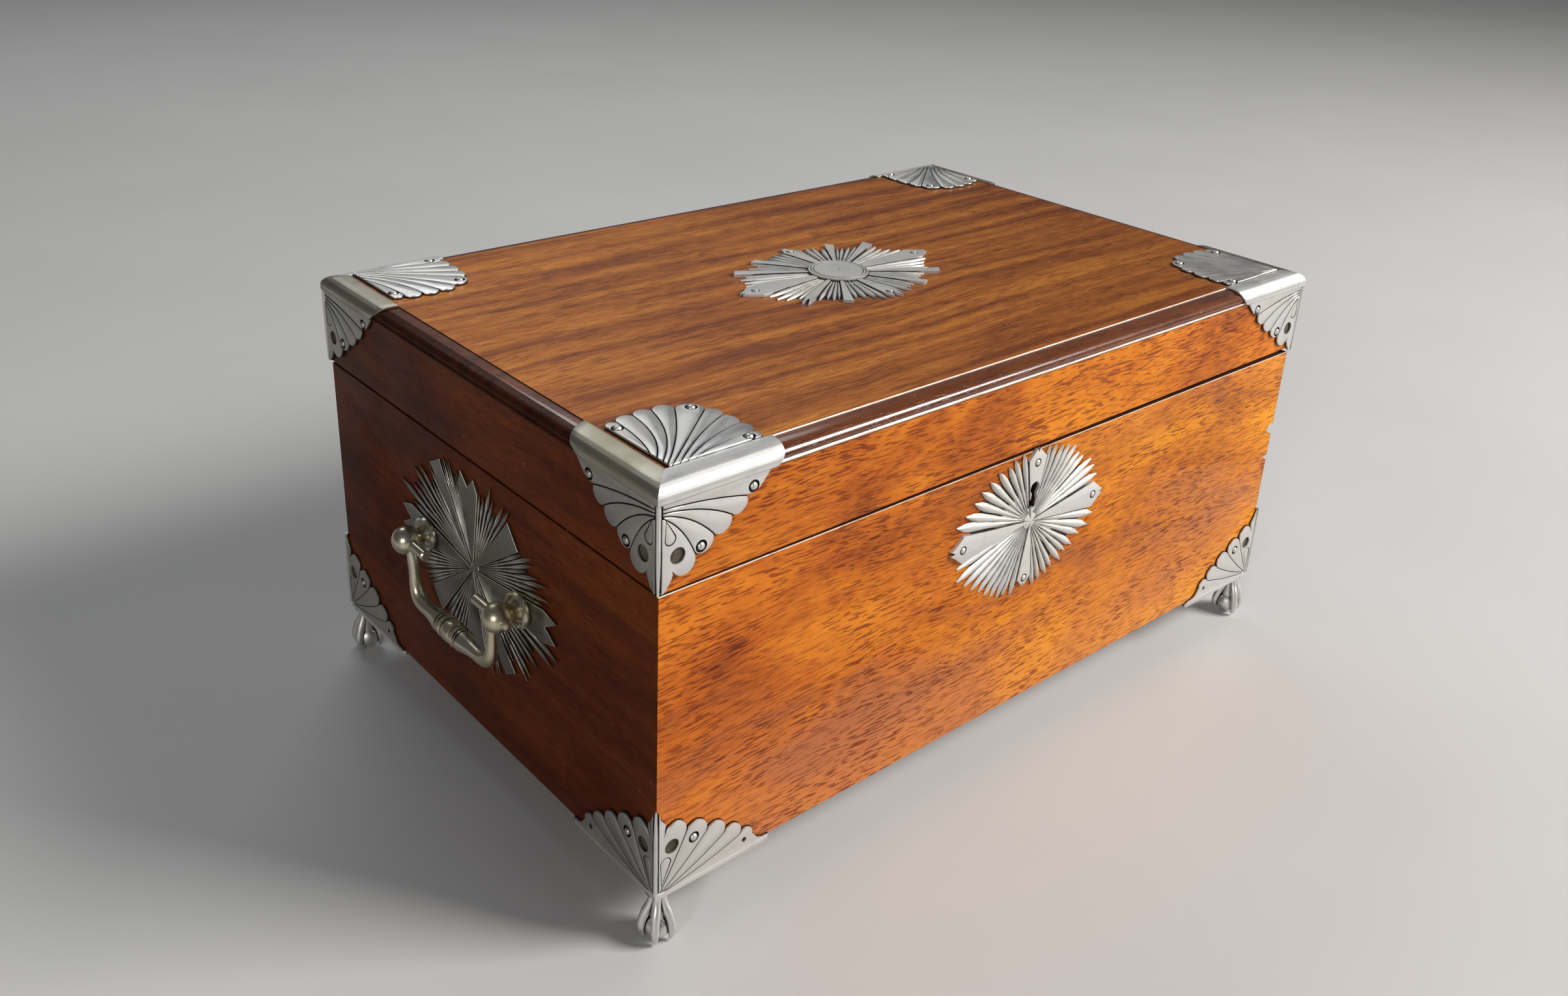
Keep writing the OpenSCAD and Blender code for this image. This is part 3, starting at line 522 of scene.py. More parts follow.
class Bench:
    """Modelling steps as they are done by hand, each on one new object."""

    @staticmethod
    def clear() -> None:
        """Leaves edit mode and deselects everything."""
        if bpy.context.object and bpy.context.object.mode != "OBJECT":
            bpy.ops.object.mode_set(mode="OBJECT")
        bpy.ops.object.select_all(action="DESELECT")

    @staticmethod
    def pick(piece: Piece) -> None:
        """Selects one piece and makes it active."""
        Bench.clear()
        piece.select_set(True)
        bpy.context.view_layer.objects.active = piece

    @staticmethod
    def edit() -> None:
        """Enters edit mode with the whole mesh selected."""
        bpy.ops.object.mode_set(mode="EDIT")
        bpy.ops.mesh.select_all(action="SELECT")

    @staticmethod
    def shaped(place: Sequence[float], size: Sequence[float], turn: Sequence[float] = (0, 0, 0)) -> Piece:
        """Places, scales and turns the primitive just added, and applies that to its mesh.

        Args:
            place: its centre in metres.
            size: its scale.
            turn: its rotation in radians.

        Returns:
            The primitive.
        """
        piece = bpy.context.object
        piece.location, piece.scale, piece.rotation_euler = place, size, turn
        bpy.ops.object.transform_apply(location=True, rotation=True, scale=True)
        return piece

    @staticmethod
    def eased(piece: Piece, width: float, degrees: float) -> Piece:
        """Bevels the edges sharper than an angle."""
        Bench.pick(piece)
        ease = piece.modifiers.new("ease", "BEVEL")
        ease.width = width * MM
        ease.segments = 2
        ease.angle_limit = math.radians(degrees)
        bpy.ops.object.modifier_apply(modifier=ease.name)
        return piece

    @staticmethod
    def discard(*pieces: Piece) -> None:
        """Removes pieces that served as patterns."""
        for piece in pieces:
            bpy.data.objects.remove(piece)

    @staticmethod
    def select_faces(test: Callable[[bpy.types.MeshPolygon], bool]) -> None:
        """Leaves edit mode, selects the faces that pass a test and goes back."""
        bpy.ops.mesh.select_all(action="DESELECT")
        bpy.ops.mesh.select_mode(type="FACE")
        bpy.ops.object.mode_set(mode="OBJECT")
        for face in bpy.context.object.data.polygons:
            face.select = test(face)
        bpy.ops.object.mode_set(mode="EDIT")

    @staticmethod
    def outward() -> None:
        """In edit mode: closes doubles and points every face outwards."""
        bpy.ops.mesh.select_all(action="SELECT")
        bpy.ops.mesh.remove_doubles(threshold=1e-6)
        bpy.ops.mesh.normals_make_consistent(inside=False)
        bpy.ops.object.mode_set(mode="OBJECT")

    @staticmethod
    def plate(outline: Sequence[Point], thickness: float, edge: float, rounds: int = 2,
              lift: float = 0.0) -> Piece:
        """A flat plate cut to an outline, its upper edge bevelled.

        Args:
            outline: points in the XY plane, in order.
            thickness: height of the plate.
            edge: width of the bevel.
            rounds: segments of the bevel.
            lift: height of its underside.

        Returns:
            The new piece.
        """
        Bench.clear()
        bpy.ops.mesh.primitive_circle_add(vertices=len(outline), radius=0.01, fill_type="NGON")
        piece = bpy.context.object
        for vertex, (x, y) in zip(piece.data.vertices, outline):
            vertex.co = (x * MM, y * MM, lift * MM)
        Bench.edit()
        bpy.ops.mesh.extrude_region_move(TRANSFORM_OT_translate={"value": (0, 0, thickness * MM)})
        middle = (lift + thickness / 2) * MM
        Bench.select_faces(lambda f: f.center.z > middle and abs(f.normal.z) > 0.9)
        if edge:
            bpy.ops.mesh.bevel(offset=edge * MM, segments=rounds, affect="EDGES", clamp_overlap=True)
        Bench.outward()
        return piece

    @staticmethod
    def turned(profile: Sequence[Point], steps: int = 32) -> Piece:
        """A solid turned about Z from a profile of (radius, height) points that starts and ends on the axis.

        Args:
            profile: the points, from bottom to top.
            steps: divisions of the turn.

        Returns:
            The new piece.
        """
        Bench.clear()
        bpy.ops.mesh.primitive_circle_add(vertices=len(profile), radius=0.01, fill_type="NOTHING")
        piece = bpy.context.object
        for vertex, (r, z) in zip(piece.data.vertices, profile):
            vertex.co = (r * MM, 0, z * MM)
        last = len(profile) - 1
        for edge in piece.data.edges:
            edge.select = set(edge.vertices) == {0, last}
        for vertex in piece.data.vertices:
            vertex.select = False
        bpy.ops.object.mode_set(mode="EDIT")
        bpy.ops.mesh.select_mode(type="EDGE")
        bpy.ops.mesh.delete(type="EDGE")
        bpy.ops.mesh.select_all(action="SELECT")
        bpy.ops.mesh.spin(steps=steps, angle=2 * math.pi, center=(0, 0, 0), axis=(0, 0, 1))
        Bench.outward()
        return piece

    @staticmethod
    def bar(path: Sequence[Sequence[float]], radii: Sequence[float], rings: int = 4) -> Piece:
        """A round bar that follows a smooth path and swells and thins along it.

        Args:
            path: points that the bar passes near.
            radii: its radius at each point.
            rings: roundness of its section.

        Returns:
            The new piece.
        """
        Bench.clear()
        bpy.ops.curve.primitive_nurbs_path_add()
        curve = bpy.context.object
        curve.data.splines.clear()
        spline = curve.data.splines.new("NURBS")
        spline.points.add(len(path) - 1)
        for point, place, radius in zip(spline.points, path, radii):
            point.co = (*[c * MM for c in place], 1.0)
            point.radius = radius
        spline.order_u = 4
        spline.use_endpoint_u = True
        curve.data.resolution_u = 6
        curve.data.bevel_depth = MM
        curve.data.bevel_resolution = rings
        curve.data.use_fill_caps = True
        bpy.ops.object.convert(target="MESH")
        piece = bpy.context.object
        bpy.ops.object.mode_set(mode="EDIT")
        Bench.outward()
        return piece

    @staticmethod
    def sheet_grid(columns: int, rows: int, place: Callable[[float, float], Sequence[float]],
                   thickness: float) -> Piece:
        """A grid bent to a rule and given a thickness.

        Args:
            columns: squares along u.
            rows: squares along v.
            place: gives the point for u and v, each 0 to 1.
            thickness: of the finished sheet, grown to its back.

        Returns:
            The new piece.
        """
        Bench.clear()
        bpy.ops.mesh.primitive_grid_add(x_subdivisions=columns, y_subdivisions=rows, size=2)
        piece = bpy.context.object
        for vertex in piece.data.vertices:
            spot = place((vertex.co.x + 1) / 2, (vertex.co.y + 1) / 2)
            vertex.co = Vector(spot) * MM
        shell = piece.modifiers.new("thickness", "SOLIDIFY")
        shell.thickness = thickness * MM
        shell.offset = -1
        bpy.ops.object.modifier_apply(modifier=shell.name)
        bpy.ops.object.mode_set(mode="EDIT")
        Bench.outward()
        return piece

    @staticmethod
    def carry(piece: Piece, matrix: Matrix) -> Piece:
        """Moves a piece's mesh, keeping its faces outward when the matrix mirrors it."""
        piece.data.transform(matrix)
        if matrix.determinant() < 0:
            piece.data.flip_normals()
        piece.data.update()
        return piece

    @staticmethod
    def copy(piece: Piece, matrix: Matrix) -> Piece:
        """A copy with its own mesh, carried by a matrix."""
        twin = piece.copy()
        twin.data = piece.data.copy()
        bpy.context.scene.collection.objects.link(twin)
        return Bench.carry(twin, matrix)

    @staticmethod
    def join(pieces: Iterable[Piece], name: str) -> Piece:
        """Joins pieces into one and names it."""
        pieces = list(pieces)
        Bench.pick(pieces[0])
        for piece in pieces:
            piece.select_set(True)
        if len(pieces) > 1:
            bpy.ops.object.join()
        joined = bpy.context.object
        joined.name = name
        joined.data.name = name
        return joined

    @staticmethod
    def smooth(piece: Piece, degrees: float = 35.0) -> Piece:
        """Shades a piece smooth up to an angle."""
        Bench.pick(piece)
        bpy.ops.object.shade_smooth_by_angle(angle=math.radians(degrees))
        return piece

    @staticmethod
    def cut(piece: Piece, cutter: Piece) -> Piece:
        """Takes a cutter out of a piece and removes the cutter."""
        Bench.pick(piece)
        knife = piece.modifiers.new("cut", "BOOLEAN")
        knife.operation = "DIFFERENCE"
        knife.solver = "EXACT"
        knife.object = cutter
        bpy.ops.object.modifier_apply(modifier=knife.name)
        bpy.data.objects.remove(cutter)
        return piece

    @staticmethod
    def drill(piece: Piece, spot: Point, diameter: float) -> Piece:
        """Drills a hole along Z."""
        Bench.clear()
        bpy.ops.mesh.primitive_cylinder_add(vertices=28, radius=diameter / 2 * MM, depth=0.02)
        return Bench.cut(piece, Bench.shaped((spot[0] * MM, spot[1] * MM, 0), (1, 1, 1)))

    @staticmethod
    def trim(piece: Piece, spot: Sequence[float], keep: Sequence[float]) -> Piece:
        """Cuts a piece at a plane and closes the cut.

        Args:
            piece: the piece.
            spot: a point of the plane, in millimetres.
            keep: the direction from the plane to the side that stays.

        Returns:
            The same piece.
        """
        Bench.pick(piece)
        Bench.edit()
        bpy.ops.mesh.bisect(plane_co=Vector(spot) * MM, plane_no=keep, use_fill=True, clear_inner=True)
        bpy.ops.object.mode_set(mode="OBJECT")
        return piece

    @staticmethod
    def worn_copy(node: str, edge: float) -> Piece:
        """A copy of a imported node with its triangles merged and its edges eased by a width."""
        source = frame["nodes"][node]
        twin = bpy.data.objects.new(node + "_eased", source.data.copy())
        bpy.context.scene.collection.objects.link(twin)
        twin.data.materials.clear()
        Bench.pick(twin)
        Bench.edit()
        bpy.ops.mesh.remove_doubles(threshold=2e-6)
        bpy.ops.mesh.dissolve_limited(angle_limit=math.radians(0.5))
        bpy.ops.object.mode_set(mode="OBJECT")
        return Bench.eased(twin, edge, 20)


def show(piece: Piece, name: str, body: str, nodes: Sequence[str], degrees: float) -> None:
    """Smooths and names a finished piece, and hands it over.

    Args:
        piece: the finished piece, which wears its finishes.
        name: its name.
        body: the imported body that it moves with.
        nodes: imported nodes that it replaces.
        degrees: the angle up to which it is shaded smooth.
    """
    Bench.smooth(piece, degrees)
    piece.name = name
    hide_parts(*nodes)
    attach(piece, body)
    log.info("%s rides on %s, %d faces", name, body, len(piece.data.polygons))


def bow(a: Point, b: Point, bulge: float, steps: int = 9) -> list[Point]:
    """Half an oval from a to b that bulges to the left of the way by a share of its length."""
    ax, ay = a
    bx, by = b
    cx, cy, hx, hy = (ax + bx) / 2, (ay + by) / 2, (bx - ax) / 2, (by - ay) / 2
    turns = [math.pi * i / steps for i in range(1, steps)]
    return [(cx - hx * math.cos(t) - 2 * bulge * hy * math.sin(t),
             cy - hy * math.cos(t) + 2 * bulge * hx * math.sin(t)) for t in turns]


def sag(a: Point, middle: Point, b: Point, steps: int = 8) -> list[Point]:
    """A curved line from a to b drawn towards a middle point, without its ends."""
    shares = [i / steps for i in range(1, steps)]
    return [((1 - t) ** 2 * a[0] + 2 * t * (1 - t) * middle[0] + t * t * b[0],
             (1 - t) ** 2 * a[1] + 2 * t * (1 - t) * middle[1] + t * t * b[1]) for t in shares]


SHARPEST_MITRE = 0.45


def shrink(outline: Sequence[Point], by: float) -> list[Point]:
    """An outline drawn in on itself by a distance, point by point.

    Args:
        outline: points in order, either way round.
        by: the distance.

    Returns:
        The smaller outline.
    """
    area = sum(a[0] * b[1] - b[0] * a[1] for a, b in zip(outline, [*outline[1:], outline[0]]))
    way = 1 if area > 0 else -1
    smaller = []
    for i, here in enumerate(outline):
        before, after = Vector(outline[i - 1]), Vector(outline[(i + 1) % len(outline)])
        into, out = (Vector(here) - before).normalized(), (after - Vector(here)).normalized()
        normal = Vector((-(into.y + out.y), into.x + out.x)) * way
        if normal.length < 1e-6:
            normal = Vector((-into.y, into.x)) * way
        normal.normalize()
        across = max(SHARPEST_MITRE, abs(normal.dot(Vector((-out.y, out.x)))))
        smaller.append(tuple(Vector(here) + normal * by / across))
    return smaller


def inside(spot: Point, outline: Sequence[Point]) -> bool:
    """Whether a spot lies within an outline."""
    x, y = spot
    within = False
    for a, b in zip(outline, [*outline[1:], outline[0]]):
        if (a[1] > y) != (b[1] > y) and x < a[0] + (b[0] - a[0]) * (y - a[1]) / (b[1] - a[1]):
            within = not within
    return within


def teardrop(tip: Point, centre: Point, radius: float) -> list[Point]:
    """A drop's outline: a point and a round end about a centre."""
    way = math.atan2(centre[1] - tip[1], centre[0] - tip[0])
    turns = [way + math.radians(a) for a in range(-100, 101, 20)]
    return [tip, *[(centre[0] + radius * math.cos(t), centre[1] + radius * math.sin(t)) for t in turns]]


def paint(piece: Piece, *finishes: Finish) -> Piece:
    """Gives a piece its finishes in order, all its faces wearing the first."""
    piece.data.materials.clear()
    for finish in finishes:
        piece.data.materials.append(Finishes.of(finish))
    return piece


def shift(x: float, y: float, z: float) -> Matrix:
    """The matrix of a move in millimetres."""
    return Matrix.Translation((x * MM, y * MM, z * MM))


def spin(degrees: float, axis: str) -> Matrix:
    """The matrix of a turn about an axis."""
    return Matrix.Rotation(math.radians(degrees), 4, axis)


def on_front(x: float, y: float, z: float) -> Matrix:
    """Carries a plan to a front face: X stays, Y turns up and Z comes forward."""
    turn = Matrix(((1, 0, 0, 0), (0, 0, -1, 0), (0, 1, 0, 0), (0, 0, 0, 1)))
    return Matrix.Translation(Vector((x, y, z)) * MM) @ turn


def on_left(x: float, y: float, z: float, toward_back: bool) -> Matrix:
    """Carries a plan to a left face: X runs to the back or to the front, Y turns up and Z comes outward."""
    way = 1 if toward_back else -1
    turn = Matrix(((0, 0, -1, 0), (way, 0, 0, 0), (0, 1, 0, 0), (0, 0, 0, 1)))
    return Matrix.Translation(Vector((x, y, z)) * MM) @ turn


# ---------------------------------------------------------------- pinned silver

@dataclass
class Pin:
    """A domed silver pin in a drilled seat."""

    head: float = 2.8
    seat: float = 4.2
    rise: float = 1.35

    def build(self, spot: Point, level: float, finish: Silver) -> Piece:
        """Models one pin head at a spot on a plan.

        Args:
            spot: its place on the plan.
            level: the height of its seat.
            finish: of the head.

        Returns:
            The head.
        """
        r = self.head / 2
        dome = Bench.turned(((0, 0), (r, 0), (r, self.rise * 0.35), (r * 0.82, self.rise * 0.75),
                             (r * 0.45, self.rise), (0, self.rise)), 20)
        return Bench.carry(paint(dome, finish), shift(*spot, level))


@dataclass
class Leaf:
    """A flat mount of several petals on one dark backing sheet, painted shade and tarnish where it shows.

    Petals are closed outlines in the plan's millimetres; the gaps between them are the engraved lines.
    """

    petals: list[list[Point]]
    pins: Sequence[Point] = ()
    pierced: Sequence[Point] = ()
    small_holes: Sequence[Point] = ()
    drops: Sequence[tuple[Point, Point, float]] = ()
    finish: Silver = LIGHT_SILVER
    thickness: float = 1.15
    backing: float = 0.5
    line: float = 0.15
    edge: float = 0.3
    pierced_d: float = 5.5
    small_hole_d: float = 1.9
    pin: Pin = field(default_factory=Pin)

    def build(self) -> Piece:
        """Models the mount lying on its plan.

        Returns:
            The joined mount.
        """
        parts = []
        for petal in self.petals:
            top = Bench.plate(shrink(petal, self.line), self.thickness, self.edge, 2, 0.05)
            low = Bench.plate(shrink(petal, -0.02), self.backing, 0.0)
            for piece in (top, low):
                for spots, size in ((self.pierced, self.pierced_d), (self.small_holes, self.small_hole_d)):
                    for spot in (p for p in spots if inside(p, petal)):
                        Bench.drill(piece, spot, size)
            for spot in (p for p in self.pins if inside(p, petal)):
                Bench.drill(top, spot, self.pin.seat)
            for tip, centre, radius in (d for d in self.drops if inside(d[1], petal)):
                cutter = Bench.plate(teardrop(tip, centre, radius + 0.16), 4, 0)
                Bench.cut(top, Bench.carry(cutter, shift(0, 0, -1)))
                outline = shrink(teardrop(tip, centre, radius), 0.14)
                parts.append(paint(Bench.plate(outline, self.thickness, 0.2, 2, 0.05), self.finish))
            parts += [paint(top, self.finish), paint(low, SHADE_AND_TARNISH)]
        r = self.pierced_d / 2 + 0.1
        for spot in self.pierced:
            disc = Bench.turned(((0, 0.02), (r, 0.02), (r, 0.3), (0, 0.3)), 28)
            parts.append(paint(Bench.carry(disc, shift(*spot, 0)), OLD_BACKING))
        parts += [self.pin.build(spot, self.backing, self.finish) for spot in self.pins]
        return Bench.join(parts, "leaf")


def fan_of(lines: Sequence[tuple[Point, Point, Point]], bulges: Sequence[float], first: list[Point],
           last: list[Point]) -> list[list[Point]]:
    """Petals between engraved lines.

    Args:
        lines: start, middle and notch of each engraved line, in order round the fan.
        bulges: how far each petal's round end stands out, one for each gap between two lines.
        first: the outline before the first line, from its root to its notch.
        last: the outline after the last line, from its notch to its root.

    Returns:
        The petals' outlines.
    """
    petals = [[*first, lines[0][2], *reversed(sag(*lines[0])), lines[0][0]]]
    for one, two, bulge in zip(lines, lines[1:], bulges):
        petals.append([one[0], *sag(*one), one[2], *bow(one[2], two[2], bulge), two[2],
                       *reversed(sag(*two)), two[0]])
    petals.append([lines[-1][0], *sag(*lines[-1]), lines[-1][2], *last])
    return petals


@dataclass
class CornerMounts:
    """The silver on the corners: a leaf on each face, a fan on the lid top and a band on the moulding."""

    lid_pins: tuple[Point, ...] = ((34.0, 137.8), (14.6, 123.9))
    base_pins: tuple[Point, ...] = ((14.2, 16.5), (35.6, 4.0))
    ridge: float = 0.62
    band_t: float = 0.8

    def lid_leaf(self) -> Leaf:
        """The lid's side leaf; the plan's Y is the height over the wood's bottom."""
        lines = [((0.7, 140.1), (17, 139.3), (31.6, 135.4)), ((0.7, 138.9), (15, 137.6), (25.8, 130.9)),
                 ((0.7, 137.9), (11, 135.6), (19, 126.8)), ((1.0, 137.0), (8, 132.5), (12.2, 122.6))]
        first = [(0.25, 142.3), (41.2, 142.3), (40.2, 140.6), (38.2, 138.3), (36.3, 136.4), (34.0, 135.3)]
        last = [*bow((12.2, 122.6), (4.4, 118.4), 0.5), (4.4, 118.4), *bow((4.4, 118.4), (0.5, 112.2), 0.12),
                (0.5, 112.2), (0.25, 112.4), (0.25, 137.0)]
        petals = fan_of(lines, (0.4, 0.42, 0.42), first, last)
        drop = ((1.7, 136.5), (3.3, 129.8), 1.95)
        return Leaf(petals, self.lid_pins, [(6.0, 123.6)], drops=[drop])

    def base_leaf(self) -> Leaf:
        """The base's leaf; the plan's Y is the height over the wood's bottom."""
        lines = [((0.9, 0.7), (6.5, 10.5), (11.2, 20.3)), ((1.4, 0.6), (11.5, 8.0), (19.4, 16.3)),
                 ((2.0, 0.5), (16, 5.0), (26.7, 11.5)), ((2.8, 0.45), (20, 2.6), (33.7, 7.3))]
        first = [(0.25, 0.3), (0.25, 33.0), (1.2, 29.9), (3.2, 27.4), (2.6, 23.2),
                 *bow((2.6, 23.2), (11.2, 20.3), 0.52)]
        last = [*bow((33.7, 7.3), (39.2, 5.2), 0.42), (39.2, 5.2), (41.6, 1.9), (43.8, 0.9), (46.8, 0.6),
                (46.8, 0.05), (2.8, 0.05)]
        petals = fan_of(lines, (0.48, 0.5, 0.49), first, last)
        drop = ((1.3, 2.6), (3.0, 11.8), 2.0)
        return Leaf(petals, self.base_pins[:1], [(5.4, 17.4)], self.base_pins[1:], drops=[drop])

    def fan(self) -> Leaf:
        """The fan on the lid top, in the plan of the front left corner."""
        lines = [((-161.4, -93.5), (-157.3, -85.0), (-156.8, -70.2)),
                 ((-161.4, -97.0), (-151.4, -86.0), (-149.9, -69.0)),
                 ((-161.4, -100.0), (-147.4, -87.0), (-143.0, -69.0)),
                 ((-161.4, -102.3), (-146.4, -88.5), (-136.0, -71.4)),
                 ((-160.2, -103.1), (-146.0, -91.5), (-128.6, -77.4)),
                 ((-157.4, -103.1), (-142.0, -90.5), (-127.3, -84.3)),
                 ((-154.6, -103.1), (-141.0, -94.0), (-126.8, -91.8)),
                 ((-151.8, -103.1), (-141.0, -99.2), (-126.8, -98.6))]
        first = [(-161.4, -71.6), *bow((-161.4, -71.6), (-156.8, -70.2), 0.5)]
        last = [*bow((-126.8, -98.6), (-127.6, -103.1), 0.4), (-127.6, -103.1)]
        petals = fan_of(lines, (0.44, 0.44, 0.5, 0.42, 0.36, 0.34, 0.34), first, last)
        petals[4].append((-161.4, -103.1))
        pins = ((-159.1, -73.6), (-131.4, -73.9), (-130.0, -101.0))
        return Leaf(petals, pins, thickness=1.1)

    def ridge_bar(self, z0: float, z1: float) -> Piece:
        """The raised ridge down a corner, thinner at one end."""
        bars = []
        for out, r in ((0.85, self.ridge), (0.35, 0.8)):
            path = [(-BOX.half_l - out, -BOX.half_d - out, z0 + (z1 - z0) * k / 4) for k in range(5)]
            bars.append(Bench.bar(path, [r * 0.5, r, r, r, r], 3))
        return paint(Bench.join(bars, "ridge"), LIGHT_SILVER)

    def band(self) -> Piece:
        """The two bands over the moulding, mitred at the corner, with oblique ends."""
        profile = Moulding().outline(self.band_t + 0.15)

        def place(u: float, v: float) -> Triple:
            """A point of the band: u runs from the left band's end to the front band's, v up the profile."""
            spot = v * (len(profile) - 1)
            k = min(int(spot), len(profile) - 2)
            share = spot - k
            out = profile[k][0] * (1 - share) + profile[k + 1][0] * share
            z = profile[k][1] * (1 - share) + profile[k + 1][1] * share
            swell = 1.4 * math.sin(math.pi * min(1.0, max(0.0, v)))
            if u < 0.5:
                end = -71.2 + 9.5 * v + swell
                y = end + (-BOX.half_d - out - end) * u * 2
                return (-BOX.half_l - out, y, z)
            end = -127.6 + 4.6 * v + swell
            x = -BOX.half_l - out + (end + BOX.half_l + out) * (u - 0.5) * 2
            return (x, -BOX.half_d - out, z)

        band = Bench.eased(Bench.sheet_grid(24, 4 * (len(profile) - 1), place, 0.7), 0.12, 50)
        paint(band, BAND_SILVER, SHADED_WARM_SILVER)
        # The band's half on the box's end wears the darker silver, painted shade.
        for face in band.data.polygons:
            x, y = face.center.x / MM + BOX.half_l, face.center.y / MM + BOX.half_d
            face.material_index = 1 if x < y else 0
        return band

    @staticmethod
    def shaded_copy(leaf: Piece) -> Piece:
        """Copies a leaf for the box's end in a darker silver, painted shade of the shaded end."""
        twin = Bench.copy(leaf, Matrix())
        for slot in twin.material_slots:
            if slot.material == Finishes.of(LIGHT_SILVER):
                slot.material = Finishes.of(SHADED_SIDE_SILVER)
        return twin

    def build(self) -> None:
        """Models one corner's mounts and copies them to the four corners."""
        front = on_front(-BOX.half_l, -BOX.half_d, BOX.z_wood)
        left = on_left(-BOX.half_l, -BOX.half_d, BOX.z_wood, True)
        base, leaf = self.base_leaf().build(), self.lid_leaf().build()
        base_side, leaf_side = (self.shaded_copy(part) for part in (base, leaf))
        base_set = Bench.join([Bench.copy(base, front), Bench.carry(base_side, left),
                               self.ridge_bar(BOX.z_wood + 33.4, BOX.z_wood)], "base_set")
        fan = Bench.carry(self.fan().build(), shift(0, 0, BOX.z_top))
        lid_set = Bench.join([Bench.copy(leaf, front), Bench.carry(leaf_side, left), fan, self.band(),
                              self.ridge_bar(BOX.z_seam + 1.1, BOX.z_moulding - 0.2)], "lid_set")
        Bench.discard(base, leaf)
        for corner in Corner:
            for level, body, pattern in (("base", "case", base_set), ("lid", "lid", lid_set)):
                pins = (f"{level}_mount_pins",) if corner is Corner.FRONT_LEFT else ()
                name = f"{level}_mount_{corner.word}"
                twin = Bench.copy(pattern, corner.mirror)
                show(twin, "silver_" + name, body, (name, *pins), 40)
        Bench.discard(base_set, lid_set)


# ---------------------------------------------------------------- sunbursts

class Tip(Enum):
    """How a ray ends."""

    RIDGED = "ridged to a point"
    POINT = "flat, shouldered, with a slit point"
    TWO = "flat, with two points"
    CUT = "flat, cut off"


@dataclass
class Ray:
    """One ray: its direction and half width in degrees, its length and its end."""

    angle: float
    half: float
    length: float
    tip: Tip = Tip.RIDGED


